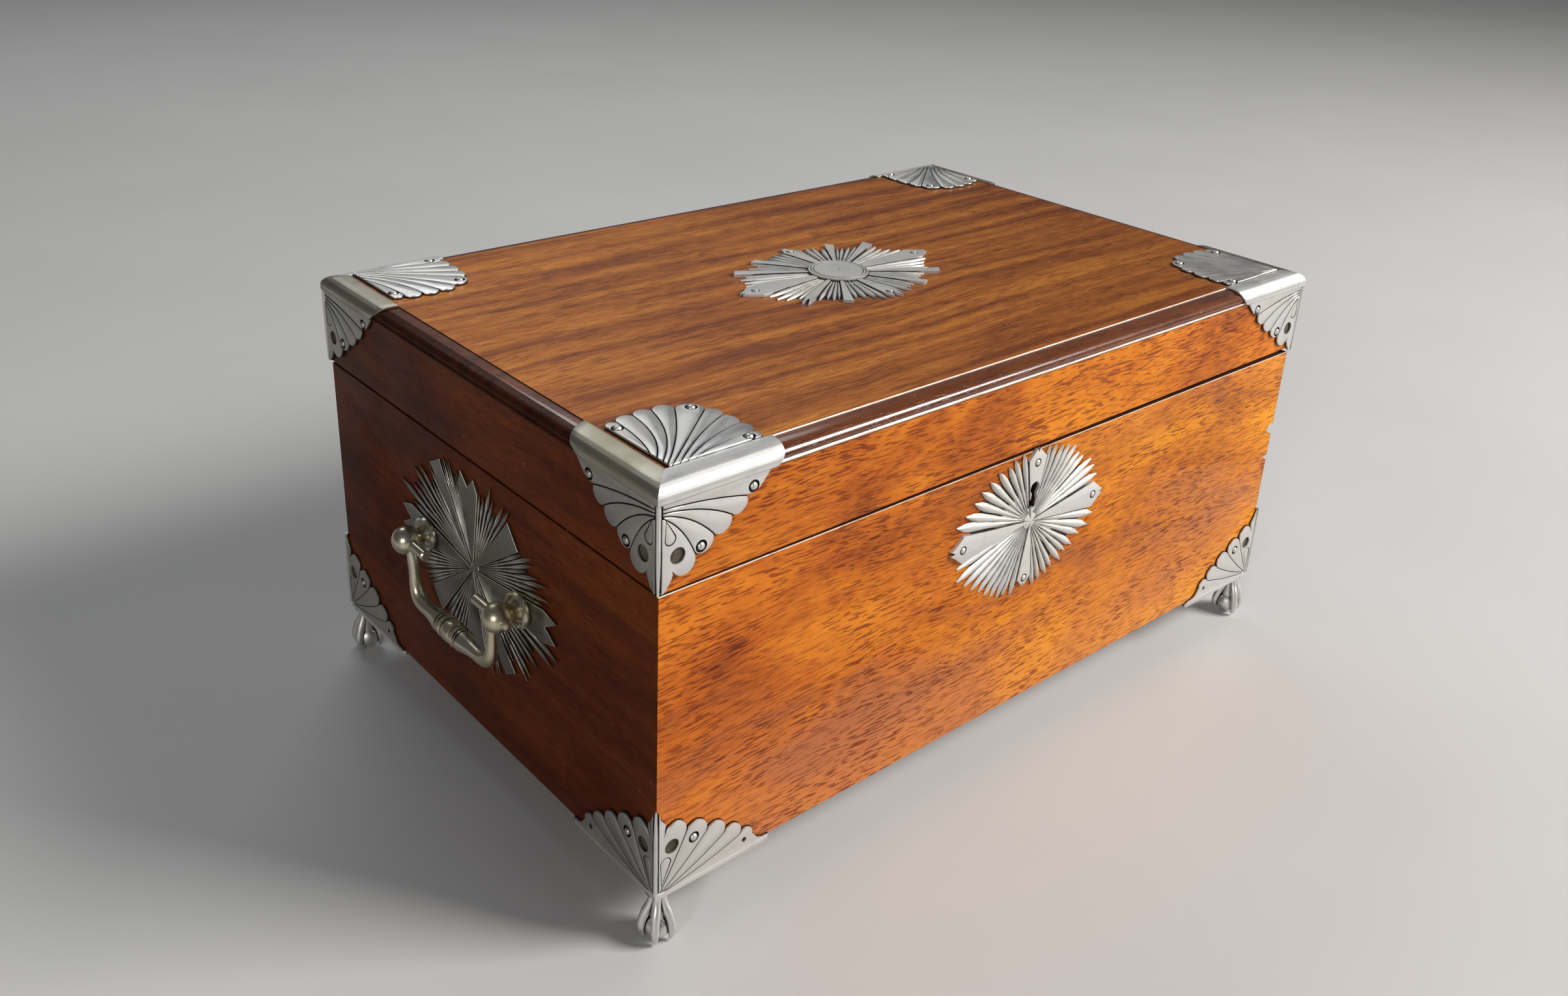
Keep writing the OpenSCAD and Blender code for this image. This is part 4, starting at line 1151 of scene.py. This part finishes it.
@dataclass
class Sunburst:
    """A plate of flat rays with sheaves of narrow ridged rays between them."""

    long: float
    short: float
    power: float
    flats: list[Ray]
    sheaves: list[int]
    finish: Silver
    seed: int
    pins: Sequence[Point] = ()
    seat_d: float = 3.4
    thickness: float = 1.2
    spread: float = 0.04
    spikes: float = 0.0
    fill: float = 0.86
    painted_highlight: Optional[Silver] = None
    keyhole: Optional[tuple[float, float]] = None

    def reach(self, degrees: float) -> float:
        """Distance of the outline from the centre in a direction."""
        t = math.radians(degrees)
        across, up = abs(math.cos(t) / self.long), abs(math.sin(t) / self.short)
        return (across ** self.power + up ** self.power) ** (-1 / self.power)

    def ridged(self) -> Piece:
        """The narrow ray, one unit long and wide, that all narrow rays are copied from."""
        start = 0.8 - self.spikes

        def place(u: float, v: float) -> Triple:
            """A point of the ray; it tapers to its point past its shoulder."""
            r = 0.03 + 0.97 * u
            past = max(0.0, (r - start) / (1 - start))
            width = start * (1 - past ** (1.0 + 1.4 * (1 - self.spikes))) if past else r
            side = 2 * v - 1
            crown = 0.7 * min(1, 0.3 + r) * (1 - abs(side) ** 2.2)
            return (r, side * max(width, 0.03) / 2, 0.35 + crown - 0.25 * past ** 2)

        return Bench.sheet_grid(10, 6, place, 0.4)

    def flat(self, ray: Ray) -> Piece:
        """A wide flat ray with its end shape."""
        tan = math.tan(math.radians(ray.half))
        end = ray.length
        shoulder = {Tip.POINT: 0.86, Tip.TWO: 0.85, Tip.CUT: 0.97}[ray.tip] * end
        wide = shoulder * tan
        ends = {
            Tip.POINT: [(shoulder, wide), (end * 0.95, wide * 0.42), (end, wide * 0.16), (end * 0.955, 0),
                        (end, -wide * 0.14), (end * 0.94, -wide * 0.45), (shoulder, -wide)],
            Tip.TWO: [(shoulder, wide), (end, wide * 0.72), (end * 0.87, wide * 0.05),
                      (end * 0.985, -wide * 0.62), (shoulder, -wide)],
            Tip.CUT: [(end, wide * 0.98), (end * 0.975, -wide)],
        }[ray.tip]
        outline = [(1.0, -tan), (1.0, tan), *ends]
        return Bench.plate(shrink(outline, 0.05), self.thickness, 0.25, 2, 0.05)

    def build(self) -> Piece:
        """Models the plate lying on its plan.

        Returns:
            The joined plate with its pins.
        """
        dice = random.Random(self.seed)
        narrow = self.ridged()
        parts = []
        for index, flat in enumerate(self.flats):
            after = self.flats[(index + 1) % len(self.flats)]
            start, stop = flat.angle + flat.half, after.angle - after.half
            stop += 360 if stop < start else 0
            count = self.sheaves[index % len(self.sheaves)]
            step = (stop - start) / count
            plate = self.flat(flat)
            for spot in self.pins:
                angle = math.radians(-flat.angle)
                local = (spot[0] * math.cos(angle) - spot[1] * math.sin(angle),
                         spot[0] * math.sin(angle) + spot[1] * math.cos(angle))
                if abs(local[1]) < 2 and 0 < local[0] < flat.length:
                    Bench.drill(plate, local, self.seat_d)
            Bench.carry(plate, spin(flat.angle, "Z"))
            if self.keyhole and flat.angle == 90:
                self.pierce(plate, *self.keyhole)
            parts.append(plate)
            for k in range(count):
                angle = start + (k + 0.5) * step
                length = self.reach(angle) * (1 + dice.uniform(-self.spread, self.spread))
                width = 2 * length * math.tan(math.radians(step / 2)) * self.fill
                tall = min(1.0, width / 3.4) * 0.35 + 0.75 * self.thickness / 1.2
                lean = spin(angle + dice.uniform(-0.12, 0.12) * step, "Z")
                ray = Bench.copy(narrow, lean @ Matrix.Diagonal((length, width, tall, 1)))
                if self.keyhole and abs(angle - 90) < 34:
                    away = 1 if angle < 90 else -1
                    Bench.trim(ray, (1.75 * away, self.keyhole[1], 0), (away, -0.1, 0))
                parts.append(ray)
        Bench.discard(narrow)
        core = Bench.turned(((0, 0.02), (self.short * 0.8, 0.02), (self.short * 0.78, 0.32), (0, 0.4)), 48)
        Bench.carry(core, Matrix.Diagonal((self.long / self.short, 1, 1, 1)))
        if self.keyhole:
            core = self.pierce(core, *self.keyhole)
            top = self.keyhole[1] - 0.2
            parts.append(Bench.plate(((0.0, 0.4), (2.2, top), (-2.2, top)), 0.95, 0.2, 2, 0.05))
        t = self.thickness
        parts.append(Bench.turned(((0, 0.3), (3.6, 0.3), (3.4, t * 0.6), (1.5, t * 0.93), (0, t * 0.96)), 40))
        for part in parts:
            paint(part, self.finish)
            if self.painted_highlight:
                self.paint_highlights(part)
        # The near-black core shows between the rays: painted shade and tarnish in the grooves.
        parts.append(paint(core, SHADE_AND_TARNISH))
        parts += [Pin().build(spot, 0.5, self.finish) for spot in self.pins]
        return Bench.join(parts, "sunburst")

    def paint_highlights(self, part: Piece) -> None:
        """Paints a highlight on a part's bevels and slopes, in a brighter silver."""
        part.data.materials.append(Finishes.of(self.painted_highlight))
        for face in part.data.polygons:
            face.material_index = 1 if 0.25 < face.normal.z < 0.97 else 0

    def pierce(self, part: Piece, hole: float, slot: float) -> Piece:
        """Cuts the keyhole out of a part."""
        turns = [math.radians(a) for a in range(-55, 236, 12)]
        outline = [(2.5 * math.cos(t), hole + 2.5 * math.sin(t)) for t in turns]
        outline += [(-1.55, hole - 3.2), (-2.0, slot + 0.8), (-1.5, slot), (1.5, slot), (2.0, slot + 0.8),
                    (1.55, hole - 3.2)]
        return Bench.cut(part, Bench.carry(Bench.plate(outline, 6, 0), shift(0, 0, -2)))


@dataclass
class Sunbursts:
    """The escutcheon on the front, the sunburst on the lid and the plates behind the handles."""

    disc_r: float = 12.3

    def escutcheon(self) -> Piece:
        """The keyhole's plate."""
        flats = [Ray(0, 8.5, 43, Tip.POINT), Ray(90, 11, 30.2, Tip.POINT), Ray(180, 8.5, 43, Tip.POINT),
                 Ray(270, 9, 28, Tip.POINT)]
        burst = Sunburst(42, 29.5, 1.8, flats, [10, 9, 10, 10], BRIGHT_SILVER, 3,
                         ((37, 0), (0, 24.3), (-37, 0), (0, -24.3)), thickness=1.4, keyhole=(14.0, 5.6))
        return burst.build()

    def lid_burst(self) -> Piece:
        """The sunburst on the lid top, with its turned disc."""
        flats = [Ray(0, 7, 51, Tip.POINT)]
        for quarter in range(4):
            corner = 90 * quarter
            split = Tip.TWO if quarter == 2 else Tip.CUT
            if quarter % 2:
                flats += [Ray(corner + 36, 3.2, 36.5, split), Ray(corner + 60, 3.4, 43.5, Tip.CUT)]
            else:
                flats += [Ray(corner + 30, 3.2, 43, split), Ray(corner + 54, 3.4, 36, Tip.CUT)]
            if quarter == 1:
                flats.append(Ray(corner + 90, 7, 51, Tip.POINT))
            elif quarter < 3:
                flats.append(Ray(corner + 90, 6, 35.5, Tip.TWO if quarter == 2 else Tip.POINT))
        burst = Sunburst(49, 34.5, 1.35, flats, [4, 4, 4], LID_SILVER, 8,
                         ((44, 0), (0, 30), (-44, 0), (0, -30)), spread=0.05)
        r = self.disc_r
        disc = Bench.turned(((0, 1.0), (r, 1.0), (r, 1.62), (r - 0.45, 1.8), (r - 0.75, 1.8), (r - 0.95, 1.4),
                             (r - 1.15, 1.8), (r - 1.9, 1.8), (r - 2.1, 1.4), (r - 2.3, 1.85), (3, 1.95),
                             (0.5, 1.95), (0.25, 1.5), (0, 1.5)), 72)
        return Bench.join([burst.build(), paint(disc, LID_SILVER)], "lid_burst")

    def backplate(self) -> Piece:
        """The plate behind a handle."""
        flats = [Ray(0, 8, 55, Tip.TWO), Ray(42, 8, 39, Tip.CUT), Ray(92, 12, 37, Tip.TWO),
                 Ray(127, 6, 42, Tip.CUT), Ray(180, 8, 54, Tip.TWO), Ray(222, 8, 39, Tip.CUT),
                 Ray(270, 12, 37, Tip.TWO), Ray(307, 6, 40, Tip.CUT)]
        burst = Sunburst(54, 37, 1.6, flats, [9, 7, 7, 8], SHADED_SILVER, 21, thickness=0.95, spread=0.12,
                         spikes=0.35, fill=0.7, painted_highlight=HIGHLIGHT_SILVER)
        return burst.build()

    def build(self) -> None:
        """Models the plates and puts each in its place."""
        centre = sum((Vector(c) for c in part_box("escutcheon")), Vector()) / 2 / MM
        plate = Bench.carry(self.escutcheon(), on_front(0, -BOX.half_d, centre.z))
        show(plate, "silver_escutcheon", "case", ("escutcheon", "escutcheon_pins"), 28)
        top = Bench.carry(self.lid_burst(), shift(0, 0, BOX.z_top))
        show(top, "silver_lid_sunburst", "lid", ("lid_sunburst", "lid_sunburst_pins"), 28)
        back = Bench.carry(self.backplate(), on_left(-BOX.half_l, 0, BOX.pivot_z, False))
        for side in Side:
            twin = Bench.copy(back, Matrix.Diagonal((-side.value, 1, 1, 1)))
            show(twin, f"silver_backplate_{side.word}", "case", (f"handle_plate_{side.word}",), 28)
        Bench.discard(back)


# ---------------------------------------------------------------- handles and feet

@dataclass
class Handles:
    """Cast posts and swinging bails on both sides."""

    ball_r: float = 5.5
    pintle_r: float = 1.95
    stub: float = 17.7
    button: float = 40.2

    def post(self) -> Piece:
        """One post, standing on its dished flange."""
        out, r = abs(BOX.pivot_x - BOX.half_l), self.ball_r
        turns = [math.radians(a) for a in range(36, 180, 12)]
        ball = [(r * math.sin(t), out - r * math.cos(t)) for t in turns]
        profile = [(0, 1.0), (5.9, 1.0), (6.5, 1.5), (6.8, 2.5), (6.5, 3.4), (5.8, 3.7), (5.2, 3.3),
                   (4.5, 2.5), (3.6, 2.4), (3.1, 3.2), (3.0, 4.4), *ball, (0, out + r)]
        return Bench.turned(profile, 36)

    def bail(self) -> Piece:
        """The bail hanging down, centred on its pivot, its length along Y."""
        parts = []
        a, b = self.stub, self.pintle_r
        pintle = ((0, a), (1.5, a), (b, a + 0.5), (b, 37.0), (1.5, 37.2), (2.0, 37.6), (2.15, 38.6),
                  (1.7, 39.7), (0.8, self.button), (0, self.button))
        arm = ((29.6, -1.5), (28.8, -5.5), (28.3, -9.5), (28.0, -13.5), (27.4, -17.5), (25.6, -21.2),
               (21.6, -22.9), (15.5, -22.6))
        for way in (-1, 1):
            parts.append(Bench.carry(Bench.turned(pintle, 24), spin(-90 * way, "X")))
            path = [(0, y * way, z) for y, z in arm]
            parts.append(Bench.bar(path, [1.6, 2.1, 1.9, 2.05, 2.4, 2.9, 2.7, 2.5], 5))
        half = [(2.5, 19), (2.8, 15), (3.3, 11.4), (4.0, 8.6), (4.05, 8.0), (3.1, 7.6), (3.1, 7.3),
                (4.0, 6.9), (4.0, 6.4), (3.1, 6.0), (3.1, 5.7), (4.1, 5.2), (4.3, 4.5), (4.1, 3.8),
                (3.0, 3.3), (3.0, 2.9), (4.0, 2.3), (4.35, 1.2), (4.35, 0.0)]
        knop = Bench.turned([(0, -19), *[(r, -y) for r, y in half], *reversed(half[:-1]), (0, 19)], 32)
        parts.append(Bench.carry(knop, shift(0, 0, -22.6) @ spin(90, "X")))
        return Bench.join(parts, "bail")

    def build(self) -> None:
        """Models one post and one bail, and copies them to their places."""
        post = paint(self.post(), CAST_SILVER)
        bail = paint(self.bail(), CAST_SILVER)
        for side in Side:
            turn = spin(90 * side.value, "Y")
            twins = [Bench.copy(post, shift(side.value * BOX.half_l, y, BOX.pivot_z) @ turn)
                     for y in (-BOX.post_y, BOX.post_y)]
            posts = Bench.join(twins, f"cast_posts_{side.word}")
            show(posts, f"cast_posts_{side.word}", "case", (f"handle_posts_{side.word}",), 30)
            hung = Bench.copy(bail, shift(side.value * abs(BOX.pivot_x), 0, BOX.pivot_z))
            name = f"bail_{side.word}"
            show(hung, "cast_" + name, name, (name,), 30)
        Bench.discard(post, bail)


@dataclass
class Feet:
    """Claw-and-ball feet under bevelled flanges."""

    inset: float = 3.5
    ball_r: float = 4.8

    def foot(self) -> Piece:
        """One foot at the front left corner."""
        parts = []
        hl, hd = BOX.half_l, BOX.half_d
        outline = [(-hl - 0.7, -hd - 0.7), (-hl + 46.5, -hd - 0.7), (-hl + 47.3, -hd), (-hl + 44, -hd + 7),
                   (-hl + 14, -hd + 14), (-hl + 7, -hd + 44), (-hl, -hd + 47.3), (-hl - 0.7, -hd + 46.5)]
        parts.append(Bench.plate(outline, 2.2, 0.7, 3, BOX.z_wood - 2.35))
        place = shift(-hl + self.inset, -hd + self.inset, 0)
        neck = ((0, 6), (3.0, 8), (3.1, 12), (2.3, 15.5), (2.5, 17.8), (4.4, 19.6), (0, 19.8))
        r, base = self.ball_r, 0.5
        turns = [math.radians(a) for a in range(18, 163, 12)]
        ball = [(0, base), *[(r * math.sin(t), base + r - r * math.cos(t)) for t in turns], (0, base + 2 * r)]
        parts += [Bench.carry(Bench.turned(neck, 24), place), Bench.carry(Bench.turned(ball, 32), place)]
        path = [(1.3, 0, 19.6), (1.6, 0, 17.0), (2.4, 0, 14.4), (3.9, 0, 11.8), (5.0, 0, 9.2), (5.6, 0, 6.4),
                (5.7, 0, 3.8), (4.9, 0, 1.2)]
        toe = Bench.bar(path, [1.7, 1.45, 1.5, 1.85, 1.4, 1.75, 1.3, 0.7], 5)
        parts += [Bench.copy(toe, place @ spin(angle, "Z")) for angle in (225, 225 - 68, 225 + 68, 45)]
        Bench.discard(toe)
        return Bench.join(parts, "foot")

    def build(self) -> None:
        """Models one foot and copies it to the four corners."""
        foot = paint(self.foot(), LIGHT_SILVER)
        for corner in Corner:
            twin = Bench.copy(foot, corner.mirror)
            show(twin, f"claw_foot_{corner.word}", "case", (f"foot_{corner.word}",), 42)
        Bench.discard(foot)


# ---------------------------------------------------------------- woodwork

@dataclass
class Moulding:
    """The run of the lid top's edge: an arris, a thumbnail, a fillet and a small bead."""

    def outline(self, grow: float = 0.0) -> list[tuple[float, float]]:
        """The section from bottom to top, as distance outside the wood's face and height.

        Args:
            grow: how far outside the wood the section lies.

        Returns:
            The section's points.
        """
        section = [(0.0, 141.3), (0.55, 141.6), (0.75, 142.1), (0.55, 142.6), (0.1, 142.9), (0.1, 143.5),
                   (0.7, 143.7), (0.6, 144.4), (-0.2, 145.4), (-1.6, 146.3), (-3.4, 146.9), (-5.6, 147.15),
                   (-7.0, 147.2), (-7.2, 147.6)]
        if not grow:
            return [(out, BOX.z_wood + z) for out, z in section]
        smooth = [(0.2, 141.4), (0.6, 142.0), (0.5, 142.9), (0.55, 143.7), (0.3, 144.6), (-0.5, 145.5),
                  (-1.8, 146.3), (-3.5, 146.85), (-5.4, 147.1), (-7.0, 147.2)]
        return [(out + grow * (1 if z < 144 else max(0.1, 1 - (z - 144) / 3.6)),
                 BOX.z_wood + z + grow * max(0.0, min(1.0, (z - 143) / 3))) for out, z in smooth]


@dataclass
class Woodwork:
    """The mahogany boards with eased edges, a few chips, painted shade in the seam and a painted highlight on
    the base's arris, and the moulded lid top.

    Each chip is a place (its height over the wood's bottom), a size and a turn in radians.
    """

    ease: float = 0.45
    lift: float = 1.3
    chips: tuple[tuple[Triple, Triple, float], ...] = (
        ((169.0, -109.8, 74), (3.8, 2.0, 2.6), 0.5), ((169.4, -109.9, 59.5), (3.0, 1.4, 1.2), 0.2))

    def warp(self, board: Piece) -> None:
        """Lifts the lid boards' lower edge towards the front right, as the lid has moved in time."""
        for vertex in board.data.vertices:
            x, y, z = vertex.co / MM
            if z < BOX.z_lid + 1.0:
                share = (x + BOX.half_l) / (2 * BOX.half_l) * (BOX.half_d - y) / (2 * BOX.half_d)
                vertex.co.z += self.lift * share * MM

    def paint_seam_shade_and_highlight(self, board: Piece, level: float, arris: bool) -> None:
        """Paints shade on the faces that meet in the seam and on the keyhole's walls, and a highlight on the
        edge under the seam.

        Args:
            board: the board, which wears its wood, the painted seam shade and the painted arris highlight.
            level: the seam's height at this board.
            arris: whether this is the base, whose front edge wears a painted highlight.
        """
        for face in board.data.polygons:
            x, y, z = face.center / MM
            at_seam = z > level - 0.35 if arris else z < level + self.lift
            outer = y < 1 - BOX.half_d
            if at_seam and abs(face.normal.z) > 0.97:
                face.material_index = 1
            elif at_seam and arris and outer and 0.3 < face.normal.z < 0.97:
                face.material_index = 2
            # The keyhole's walls in the front board wear painted shade too.
            elif arris and abs(x) < 4 and BOX.z_seam - 30 < z < BOX.z_seam - 8 and abs(face.normal.y) < 0.9:
                face.material_index = 1

    def chip(self, board: Piece, place: Sequence[float], size: Sequence[float], turn: float) -> None:
        """Takes a small splinter out of a board."""
        Bench.clear()
        bpy.ops.mesh.primitive_ico_sphere_add(subdivisions=2, radius=MM)
        cutter = Bench.shaped([p * MM for p in place], size, (0.3, turn, 0.5))
        dice = random.Random(4)
        for vertex in cutter.data.vertices:
            vertex.co += Vector([dice.uniform(-0.25, 0.25) * MM for _ in range(3)])
        Bench.cut(board, cutter)

    def boards(self) -> None:
        """Eases and dresses the eight boards."""
        plan = {"front": (FRONT_WOOD, LID_FRONT_WOOD, "mahogany_front"),
                "back": (BACK_WOOD, BACK_WOOD, "mahogany_side"),
                "left": (SHADED_SIDE_WOOD, SHADED_SIDE_WOOD, "mahogany_side"),
                "right": (SHADED_SIDE_WOOD, SHADED_SIDE_WOOD, "mahogany_side")}
        for word, (finish, lid_finish, slot) in plan.items():
            base = Bench.worn_copy(f"base_{word}_board", self.ease + 0.25)
            if word in ("front", "right"):
                for (x, y, z), size, turn in self.chips:
                    self.chip(base, (x, y, BOX.z_wood + z), size, turn)
            lid = Bench.worn_copy(f"lid_{word}_board", self.ease)
            self.warp(lid)
            self.paint_seam_shade_and_highlight(paint(base, finish, SEAM_SHADE_WOOD, ARRIS_HIGHLIGHT), BOX.z_seam - 0.25, True)
            self.paint_seam_shade_and_highlight(paint(lid, lid_finish, SEAM_SHADE_WOOD, ARRIS_HIGHLIGHT), BOX.z_lid + 0.25, False)
            show(base, f"base_{word}_mahogany", "case", (f"base_{word}_board",), 30)
            show(lid, f"lid_{word}_mahogany", "lid", (f"lid_{word}_board",), 30)

    def top(self) -> None:
        """Builds the lid top up ring by ring, and the bead round the lid under it."""
        section = Moulding().outline()
        Bench.clear()
        bpy.ops.mesh.primitive_plane_add(size=2)
        out, z = section[0]
        slab = Bench.shaped((0, 0, z * MM), ((BOX.half_l + out) * MM, (BOX.half_d + out) * MM, 1))
        bpy.ops.object.mode_set(mode="EDIT")
        for after_out, after_z in section[1:]:
            bpy.ops.mesh.extrude_region_move(TRANSFORM_OT_translate={"value": (0, 0, (after_z - z) * MM)})
            grow = [(half + after_out) / (half + out) for half in (BOX.half_l, BOX.half_d)] + [1]
            bpy.ops.transform.resize(value=grow, center_override=(0, 0, 0))
            out, z = after_out, after_z
        Bench.outward()
        low, high = BOX.z_wood + 141.0, BOX.z_wood + 143.0
        wall = 0.4
        Bench.clear()
        bpy.ops.mesh.primitive_cube_add(size=2)
        room = ((BOX.half_l - wall) * MM, (BOX.half_d - wall) * MM, (high - low) / 2 * MM)
        Bench.cut(slab, Bench.shaped((0, 0, (high + low) / 2 * MM), room))
        paint(slab, TOP_WOOD, MOULDING_WOOD, ARRIS_HIGHLIGHT, SHADED_END_MOULDING_WOOD)
        plain, moulded, highlit, end = range(4)
        for face in slab.data.polygons:
            z = face.center.z / MM - BOX.z_wood
            # Where the bead and the top arris face the front, they wear a painted highlight.
            painted_highlight = face.normal.y < -0.3 and (142.1 < z < 142.7 or z > 147.15)
            # The moulding's end faces wear a darker copy of the moulding wood, painted shade.
            at_end = abs(face.normal.x) > 0.2 or abs(face.center.x) > (BOX.half_l - 0.5) * MM
            flat_top = face.center.z >= (BOX.z_top - 0.05) * MM and abs(face.normal.z) >= 0.9
            face.material_index = plain if flat_top else highlit if painted_highlight else end if at_end else moulded
        show(slab, "lid_top_mahogany", "lid", ("lid_top_panel",), 38)

    def build(self) -> None:
        """Builds all the woodwork that shows."""
        self.boards()
        self.top()


# ---------------------------------------------------------------- what the lid hides

def dress_nodes() -> None:
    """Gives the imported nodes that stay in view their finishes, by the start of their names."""
    plan = {
        "lock": BRASS, "link": BRASS, "hinge": BRASS, "lock_spring": STEEL, "lock_pin": STEEL,
        "tea_lining": FOIL, "mixing_bowl": BOWL_GLASS, "divider": INNER_WOOD, "bowl_deck": INNER_WOOD,
        "deck_battens": INNER_WOOD, "tea_cover": INNER_WOOD, "bottom_board": INNER_WOOD,
    }
    for name, node in frame["nodes"].items():
        keys = [key for key in plan if name.startswith(key)]
        paint(node, plan[max(keys, key=len)] if keys else LIGHT_SILVER)


# ---------------------------------------------------------------- studio

@dataclass
class Studio:
    """A pale floor, a soft key from the front right, a fill and a camera."""

    azimuth: float = -41.76
    elevation: float = 23.27
    roll: float = 2.69
    distance: float = 602.8
    slide: Point = (-18.7, 25.2)
    aim: float = 68.0 + BOX.z_wood
    lens: float = 32.11
    shift_y: float = -0.0685

    def camera(self) -> None:
        """Places the camera."""
        az, el, roll = (math.radians(a) for a in (self.azimuth, self.elevation, self.roll))
        back = Vector((math.sin(az) * math.cos(el), -math.cos(az) * math.cos(el), math.sin(el)))
        x = Vector((0, 0, 1)).cross(back).normalized()
        y = back.cross(x)
        right = math.cos(roll) * x + math.sin(roll) * y
        up = -math.sin(roll) * x + math.cos(roll) * y
        place = Vector((0, 0, self.aim)) + back * self.distance + right * self.slide[0] + up * self.slide[1]
        lens = bpy.data.cameras.new("camera")
        lens.lens, lens.sensor_width, lens.shift_y = self.lens, 36.0, self.shift_y
        lens.clip_start, lens.clip_end = 0.01, 50
        camera = bpy.data.objects.new("camera", lens)
        bpy.context.scene.collection.objects.link(camera)
        turn = Matrix((right, up, back)).transposed().to_4x4()
        camera.matrix_world = Matrix.Translation(place * MM) @ turn
        bpy.context.scene.camera = camera

    def lamp(self, name: str, place: Sequence[float], aim: Sequence[float], size: Point, watts: float,
             tint: Sequence[float] = (1, 1, 1)) -> None:
        """Adds a soft rectangular lamp that looks at a point, in metres."""
        light = bpy.data.lights.new(name, "AREA")
        light.shape = "RECTANGLE"
        light.size, light.size_y = size
        light.energy = watts
        light.color = tint
        holder = bpy.data.objects.new(name, light)
        bpy.context.scene.collection.objects.link(holder)
        holder.location = place
        holder.rotation_euler = (Vector(aim) - Vector(place)).to_track_quat("-Z", "Y").to_euler()

    def build(self) -> None:
        """Sets the floor, the sky, the lamps and the camera."""
        Bench.clear()
        bpy.ops.mesh.primitive_circle_add(vertices=96, radius=9, fill_type="NGON")
        floor = bpy.context.object
        floor.name = "pale_floor"
        s = Sketch("pale_floor")
        tone = s.noise(s.mapping((5, 5, 5)), 3)
        s.link(s.mix(tone, (0.50, 0.497, 0.49), (0.56, 0.556, 0.55)), s.shader, "Base Color")
        s.set(s.shader, {"Roughness": 0.55})
        floor.data.materials.append(s.material)
        world = bpy.data.worlds.new("studio")
        world.use_nodes = True
        world.node_tree.nodes["Background"].inputs["Color"].default_value = (0.55, 0.56, 0.58, 1)
        world.node_tree.nodes["Background"].inputs["Strength"].default_value = 0.17
        bpy.context.scene.view_settings.view_transform = "Standard"
        bpy.context.scene.world = world
        self.lamp("key", (1.3, -1.5, 1.5), (0, 0, 0.08), (0.9, 0.9), 80, (1.0, 0.98, 0.95))
        self.lamp("sky", (0.4, 1.5, 1.7), (0, 0, 0.1), (1.6, 0.8), 11, (0.95, 0.98, 1.0))
        self.lamp("fill", (-1.6, -0.9, 0.7), (-0.17, 0, 0.09), (0.3, 0.3), 9)
        self.camera()


def main() -> None:
    """Builds the caddy's looks in order."""
    logging.basicConfig(level=logging.INFO, format="%(message)s")
    dress_nodes()
    Woodwork().build()
    CornerMounts().build()
    Sunbursts().build()
    Handles().build()
    Feet().build()
    Studio().build()


if __name__ == "__main__":
    main()
